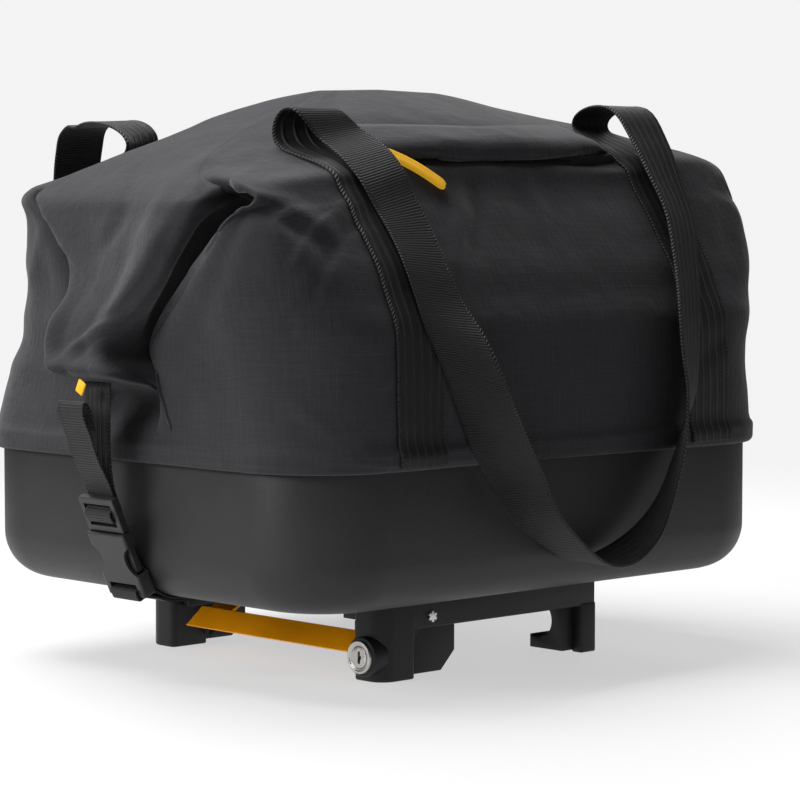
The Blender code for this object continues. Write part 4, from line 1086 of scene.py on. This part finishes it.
def edit(item, kind, test, *works):
    """Works in turn on the edges or faces of a piece that pass a test, in edit mode."""
    choose(item)
    bpy.ops.object.mode_set(mode="EDIT")
    bpy.ops.mesh.select_mode(type=kind)
    mesh = bmesh.from_edit_mesh(item.data)
    for part in (*mesh.verts, *mesh.edges, *mesh.faces):
        part.select_set(False)
    for part in mesh.faces if kind == "FACE" else mesh.edges:
        if test(part):
            part.select_set(True)
    bmesh.update_edit_mesh(item.data)
    for work, values in works:
        work(**values)
    bpy.ops.object.mode_set(mode="OBJECT")


def added(name, maker, **values):
    """A basic shape, its turn and scale applied."""
    bpy.ops.object.select_all(action="DESELECT")
    maker(**values)
    item = bpy.context.object
    item.name = name
    bpy.ops.object.transform_apply(location=True, rotation=True, scale=True)
    return item


def box(name, low, high, turn=(0.0, 0.0, 0.0)):
    """A block between two corners, turned about its own middle."""
    low, high = Vector(low), Vector(high)
    return added(name, bpy.ops.mesh.primitive_cube_add, size=1.0, location=(low + high) / 2,
                 rotation=turn, scale=high - low)


def round_bar(name, place, radius, length, axis, sides=64):
    """A cylinder along X or Y."""
    turn = {"X": (0, math.pi / 2, 0), "Y": (math.pi / 2, 0, 0)}[axis]
    return added(name, bpy.ops.mesh.primitive_cylinder_add, vertices=sides, radius=radius,
                 depth=length, location=place, rotation=turn)


def soften(item, width, segments=3, limit=35):
    """Rounds a piece's sharp edges and shades it by angle."""
    apply(item, "BEVEL", width=width, segments=segments, limit_method="ANGLE",
          angle_limit=math.radians(limit))
    choose(item)
    bpy.ops.object.shade_smooth_by_angle(angle=math.radians(35))
    return item


def cut(item, tool):
    """Cuts one piece out of another."""
    apply(item, "BOOLEAN", operation="DIFFERENCE", object=tool, solver="EXACT")
    bpy.data.objects.remove(tool, do_unlink=True)


def round_off(item, test, offset, segments=8):
    """Rounds the edges of a piece that pass a test."""
    edit(item, "EDGE", test, (bpy.ops.mesh.bevel, {"offset": offset, "segments": segments,
                                                   "profile": 0.5, "affect": "EDGES"}))


def joined(name, *items):
    """Several pieces made into one object."""
    bpy.ops.object.select_all(action="DESELECT")
    for item in items:
        item.select_set(True)
    bpy.context.view_layer.objects.active = items[0]
    bpy.ops.object.join()
    items[0].name = name
    return items[0]


def mirrored(item, name):
    """A copy with its own mesh on the other side of the bag."""
    twin = item.copy()
    twin.data = item.data.copy()
    twin.name = name
    bpy.context.scene.collection.objects.link(twin)
    choose(twin)
    bpy.ops.transform.mirror(orient_type="GLOBAL", constraint_axis=(False, True, False),
                             center_override=(0.0, 0.0, 0.0))
    bpy.ops.object.transform_apply(location=True, rotation=True, scale=True)
    edit(twin, "FACE", lambda face: True,
         (bpy.ops.mesh.normals_make_consistent, {"inside": False}))
    return twin


def spanned(edge, axis):
    """How far an edge reaches along an axis."""
    return abs(edge.verts[0].co[axis] - edge.verts[1].co[axis])


def within(part, axis, low, high=math.inf):
    """Whether every corner of a part lies between two places on an axis."""
    return all(low < vertex.co[axis] < high for vertex in part.verts)


def upright(x, y):
    """A test for the upright edge at a place."""
    return lambda edge: (spanned(edge, 2) > 0.005 and within(edge, 0, x - 0.0005, x + 0.0005)
                         and abs(edge.verts[0].co.y - y) < 0.0005)


class RACKBAG_OT_tub(bpy.types.Operator):
    """Builds the moulded tub with its rounded corners and floor"""

    bl_idname = "rackbag.tub"
    bl_label = "Tub"

    def execute(self, context):
        tub = box("tub_moulding", (-RIM_HALF_LENGTH, -RIM_HALF_WIDTH, TUB_BOTTOM),
                  (RIM_HALF_LENGTH, RIM_HALF_WIDTH, SEAM_HEIGHT + TUB_LIP))
        edit(tub, "FACE", lambda face: face.normal.z > 0.5,
             (bpy.ops.mesh.delete, {"type": "FACE"}))
        round_off(tub, lambda edge: spanned(edge, 2) > 0.01, CORNER_RADIUS, 18)
        round_off(tub, lambda edge: within(edge, 2, 0.0, TUB_BOTTOM + 0.0001),
                  TUB_EDGE_RADIUS, 14)
        apply(tub, "SOLIDIFY", thickness=TUB_WALL, offset=-1.0)
        seat(soften(tub, 0.0008, limit=50), "bag", "tub", "tub_plastic", "base_tub")
        return {"FINISHED"}


class RACKBAG_OT_buckles(bpy.types.Operator):
    """Finishes the side-release buckles"""

    bl_idname = "rackbag.buckles"
    bl_label = "Buckles"

    def execute(self, context):
        dress("buckle_plastic", "buckle_male_left", "buckle_male_right", "buckle_female_left",
              "buckle_female_right")
        return {"FINISHED"}


class RACKBAG_OT_adapter(bpy.types.Operator):
    """Builds the rack adapter's rails with their legs and jaws, and the pivot pins"""

    bl_idname = "rackbag.adapter"
    bl_label = "Rack Adapter"

    def execute(self, context):
        outer, inner = -RAIL_INNER - RAIL_WIDTH, -RAIL_INNER
        front = joined("adapter_rail_front_moulding", *self.leg(outer, inner),
                       *self.jaw(outer, inner))
        back = mirrored(front, "adapter_rail_back_moulding")
        seat(front, "bag", "adapter", "adapter_plastic", "adapter_rail_front")
        seat(back, "bag", "adapter", "adapter_plastic", "adapter_rail_back")
        screw = self.screw(outer, inner)
        seat(mirrored(screw, "pivot_screw_back"), "bag", "steel", "screw_zinc", "pivot_pin_back")
        seat(screw, "bag", "steel", "screw_zinc", "pivot_pin_front")
        x, z = LEVER_PIVOT
        blade = box("blade", (x - BLADE_REACH, inner + 0.0006, 0.005),
                    (x + 0.0055, inner + 0.0076, z + 0.006))
        round_off(blade, upright(x - BLADE_REACH, inner + 0.0006), 0.001)
        round_off(blade, lambda edge: within(edge, 2, 0.0, 0.006) and spanned(edge, 1) > 0.005,
                  0.005)
        arm = box("arm", (-0.0962, inner + 0.0009, 0.0275), (x, inner + 0.0073, 0.0355))
        hook = joined("lever_hook_front_moulding", soften(blade, 0.0006), soften(arm, 0.0006))
        seat(mirrored(hook, "lever_hook_back_moulding"), "release", "adapter",
             "adapter_plastic", "lever_hook_back")
        seat(hook, "release", "adapter", "adapter_plastic", "lever_hook_front")
        return {"FINISHED"}

    def leg(self, outer, inner):
        """The rail's beam, its lever leg and the web between them."""
        leg_back = RAIL_START + LEVER_LEG
        beam = box("beam", (RAIL_START + 0.004, outer + 0.0004, RAIL_UNDERSIDE),
                   (RAIL_END - 0.0004, inner - 0.0004, TUB_BOTTOM - 0.0005))
        soften(beam, 0.0012)
        leg = box("leg", (LEG_FRONT, outer, 0.0), (leg_back, inner, TUB_BOTTOM - 0.0003))
        round_off(leg, upright(LEG_FRONT, outer), 0.012, 12)
        round_off(leg, upright(LEG_FRONT, inner), 0.004)
        round_off(leg, upright(leg_back, outer), 0.003)
        soften(leg, 0.0012)
        web = box("web", (leg_back - 0.001, outer + 0.001, RAIL_UNDERSIDE - 0.008),
                  (leg_back + 0.008, inner - 0.001, RAIL_UNDERSIDE + 0.001))
        cut(web, round_bar("web_cut", (leg_back + 0.0081, (outer + inner) / 2,
                                       RAIL_UNDERSIDE - 0.0081), 0.008, 0.04, "Y"))
        return beam, leg, soften(web, 0.0003, 1)

    def jaw(self, outer, inner):
        """The rear cheek, the toothed jaw that sits on the rack, and the fin."""
        cheek = box("cheek", (RAIL_END - 0.014, outer, 0.0),
                    (RAIL_END, outer + CHEEK, RAIL_UNDERSIDE + 0.002))
        soften(cheek, 0.0012)
        jaw = box("jaw", (RAIL_END - JAW_LEG + 0.003, outer + CHEEK - 0.001, 0.0015),
                  (RAIL_END - 0.002, inner + 0.011, RAIL_UNDERSIDE + 0.001))
        cut(jaw, round_bar("seat_cut", (RAIL_END - JAW_LEG / 2, inner + 0.004, 0.0205), 0.0125,
                           0.06, "X"))
        low, high, mouth = RAIL_END - 0.06, RAIL_END + 0.01, inner + 0.0005
        cut(jaw, box("mouth_cut", (low, mouth, 0.0125), (high, inner + 0.02,
                                                         RAIL_UNDERSIDE + 0.004)))
        for step in range(3):
            tooth = mouth + step * JAW_TOOTH
            cut(jaw, box("tooth_cut", (low, tooth, 0.0085), (high, tooth + 0.0015, 0.0140)))
        soften(jaw, 0.0005, 2)
        fin = box("fin", (-0.068, inner - 0.017, 0.0010), (-0.032, inner - 0.010, 0.034))
        round_off(fin, lambda edge: within(edge, 0, -0.033) and within(edge, 2, 0.0, 0.002),
                  0.012, 1)
        return cheek, jaw, soften(fin, 0.0008)

    def screw(self, outer, inner):
        """The pivot pin with its lobed head."""
        x, z = LEVER_PIVOT
        head = round_bar("pivot_screw_front", (x, outer - 0.0003, z), 0.0036, 0.0016, "Y", 24)

        def lobe(edge):
            spot = edge.verts[0].co
            place = round(math.atan2(spot.z - z, spot.x - x) / (math.tau / 24))
            return spanned(edge, 1) > 0.001 and place % 4 == 0

        edit(head, "EDGE", lobe, (bpy.ops.transform.resize,
                                  {"value": (0.62, 1.0, 0.62), "center_override": (x, outer, z)}))
        shank = round_bar("shank", (x, (outer + inner) / 2 + 0.003, z), 0.0033, 0.031, "Y", 32)
        return soften(joined("pivot_screw_front", head, shank), 0.0002, 2)


class RACKBAG_OT_lever(bpy.types.Operator):
    """Builds the orange release lever with its lip and its tongue"""

    bl_idname = "rackbag.lever"
    bl_label = "Release Lever"

    def execute(self, context):
        (top_x, top_z), (low_x, low_z) = PLATE_TOP, PLATE_LOW
        start, end = PLATE_ENDS
        middle = Vector(((top_x + low_x) / 2, (start + end) / 2, (top_z + low_z) / 2))
        half = Vector((0.001, (end - start) / 2, math.hypot(top_x - low_x, top_z - low_z) / 2))
        tilt = math.atan2(top_x - low_x, top_z - low_z)
        plate = box("plate", middle - half, middle + half, (0.0, tilt, 0.0))
        edit(plate, "FACE", lambda face: face.normal.z < -0.7,
             (bpy.ops.mesh.extrude_region_move,
              {"TRANSFORM_OT_translate": {"value": (-0.0024, 0.0, -0.0016)}}))
        soften(plate, 0.0005)
        edit(plate, "EDGE",
             lambda edge: within(edge, 1, end - 0.001) and within(edge, 2, top_z - 0.003),
             (bpy.ops.transform.translate, {"value": (0.0, -0.006, 0.0)}))
        tongue = box("tongue", (top_x - 0.001, end - 0.026, top_z - 0.003),
                     (top_x + 0.019, end - 0.004, top_z - 0.001), (0.0, math.radians(-28), 0.0))
        lever = joined("release_lever_plate", plate, soften(tongue, 0.0005))
        seat(lever, "release", "orange", "lever_enamel", "release_lever")
        return {"FINISHED"}


class RACKBAG_OT_lock(bpy.types.Operator):
    """Builds the lock's boss, barrel and plug"""

    bl_idname = "rackbag.lock"
    bl_label = "Lock"

    def execute(self, context):
        y, z = LOCK_PLACE
        boss = round_bar("lock_boss", (LOCK_FACE + 0.0085, y, z), 0.0125, 0.012, "X")
        seat(soften(boss, 0.001), "bag", "adapter", "adapter_plastic", "lock_housing")
        barrel = round_bar("lock_ring", (LOCK_FACE + 0.0030, y, z), 0.0102, 0.006, "X")
        insets = [(bpy.ops.mesh.inset, {"thickness": thickness, "depth": depth})
                  for thickness, depth in ((0.0016, 0.0), (0.0004, -0.0006), (0.0011, 0.0))]
        edit(barrel, "FACE", lambda face: face.normal.x < -0.5, *insets,
             (bpy.ops.mesh.extrude_region_move,
              {"TRANSFORM_OT_translate": {"value": (0.0036, 0.0, 0.0)}}))
        seat(soften(barrel, 0.0003), "bag", "steel", "lock_steel", "lock_barrel")
        plug = round_bar("lock_core", (LOCK_FACE + 0.0024, y, z), 0.0068, 0.0040, "X")
        start = LOCK_FACE - 0.002
        for name, low, high in (
                ("keyway", (start, y - 0.0011, z - 0.0038),
                 (LOCK_FACE + 0.0034, y + 0.0011, z + 0.0038)),
                ("keyway_ward", (start, y - 0.0020, z - 0.0010),
                 (LOCK_FACE + 0.0030, y, z + 0.0010))):
            cut(plug, box(name, low, high))
        seat(soften(plug, 0.0002, 2), "plug", "steel", "lock_steel", "lock_plug")
        return {"FINISHED"}


def area_light(name, place, target, size, power):
    """A square softbox turned to a target."""
    light = bpy.data.lights.new(name, "AREA")
    light.size, light.energy = size, power
    item = bpy.data.objects.new(name, light)
    item.location = place
    item.rotation_euler = (Vector(place) - Vector(target)).to_track_quat("Z", "Y").to_euler()
    bpy.context.scene.collection.objects.link(item)


class RACKBAG_OT_stage(bpy.types.Operator):
    """Sets up the pale floor, the soft studio light and the camera"""

    bl_idname = "rackbag.stage"
    bl_label = "Stage"

    def execute(self, context):
        bpy.ops.object.select_all(action="DESELECT")
        bpy.ops.mesh.primitive_plane_add(size=24.0, location=(0.0, 0.0, 0.0))
        floor = context.object
        floor.name = "studio_floor"
        floor.data.materials.append(finished("paper"))
        camera = bpy.data.cameras.new("camera")
        camera.lens, camera.sensor_width = CAMERA_LENS, SENSOR
        item = bpy.data.objects.new("camera", camera)
        item.location = CAMERA_PLACE
        item.rotation_euler = camera_axes()[2].to_track_quat("Z", "Y").to_euler()
        context.scene.collection.objects.link(item)
        context.scene.camera = item
        middle = (0.0, 0.0, 0.18)
        area_light("key", (-2.7, 0.7, 1.3), middle, 1.3, 60.0)
        area_light("fill", (-1.2, -3.0, 1.4), middle, 1.6, 3.5)
        area_light("top", (-0.3, 1.0, 2.6), (0.0, 0.0, 0.2), 2.4, 125.0)
        area_light("rim", (2.2, 1.2, 1.0), middle, 1.0, 8.0)
        world = bpy.data.worlds.new("studio")
        world.use_nodes = True
        nodes, links = world.node_tree.nodes, world.node_tree.links
        around, behind = nodes["Background"], nodes.new("ShaderNodeBackground")
        around.inputs["Color"].default_value = (1.0, 1.0, 1.0, 1.0)
        around.inputs["Strength"].default_value = 0.10
        behind.inputs["Color"].default_value = (0.9, 0.9, 0.9, 1.0)
        straight = nodes.new("ShaderNodeLightPath")
        either = nodes.new("ShaderNodeMixShader")
        sources = (straight.outputs["Is Camera Ray"], around.outputs[0], behind.outputs[0])
        for place, source in enumerate(sources):
            links.new(source, either.inputs[place])
        links.new(either.outputs[0], nodes["World Output"].inputs[0])
        context.scene.world = world
        context.scene.view_settings.view_transform = "Standard"
        return {"FINISHED"}


class RACKBAG_PT_panel(bpy.types.Panel):
    """Lists the bag's sizes, finishes and makers"""

    bl_label = "Rack Bag"
    bl_idname = "RACKBAG_PT_panel"
    bl_space_type = "VIEW_3D"
    bl_region_type = "UI"
    bl_category = "Rack Bag"

    def draw(self, context):
        for group in settings():
            box = self.layout.box()
            for name in group.__annotations__:
                box.prop(group, name)
        for maker in MAKERS:
            self.layout.operator(maker.bl_idname)


MAKERS = (RACKBAG_OT_stage, RACKBAG_OT_cloth, RACKBAG_OT_handles, RACKBAG_OT_end_straps,
          RACKBAG_OT_zip, RACKBAG_OT_tub, RACKBAG_OT_buckles, RACKBAG_OT_adapter,
          RACKBAG_OT_lever, RACKBAG_OT_lock)
CLASSES = (BagSizes, BagFinishes, *MAKERS, RACKBAG_PT_panel)


def register():
    for item in CLASSES:
        bpy.utils.register_class(item)
    bpy.types.Scene.rack_bag_sizes = PointerProperty(type=BagSizes)
    bpy.types.Scene.rack_bag_finishes = PointerProperty(type=BagFinishes)


def unregister():
    del bpy.types.Scene.rack_bag_finishes
    del bpy.types.Scene.rack_bag_sizes
    for item in reversed(CLASSES):
        bpy.utils.unregister_class(item)


def main():
    """Registers the add-on and builds everything in order."""
    register()
    for maker in MAKERS:
        group, name = maker.bl_idname.split(".")
        getattr(getattr(bpy.ops, group), name)()


if __name__ == "__main__":
    main()
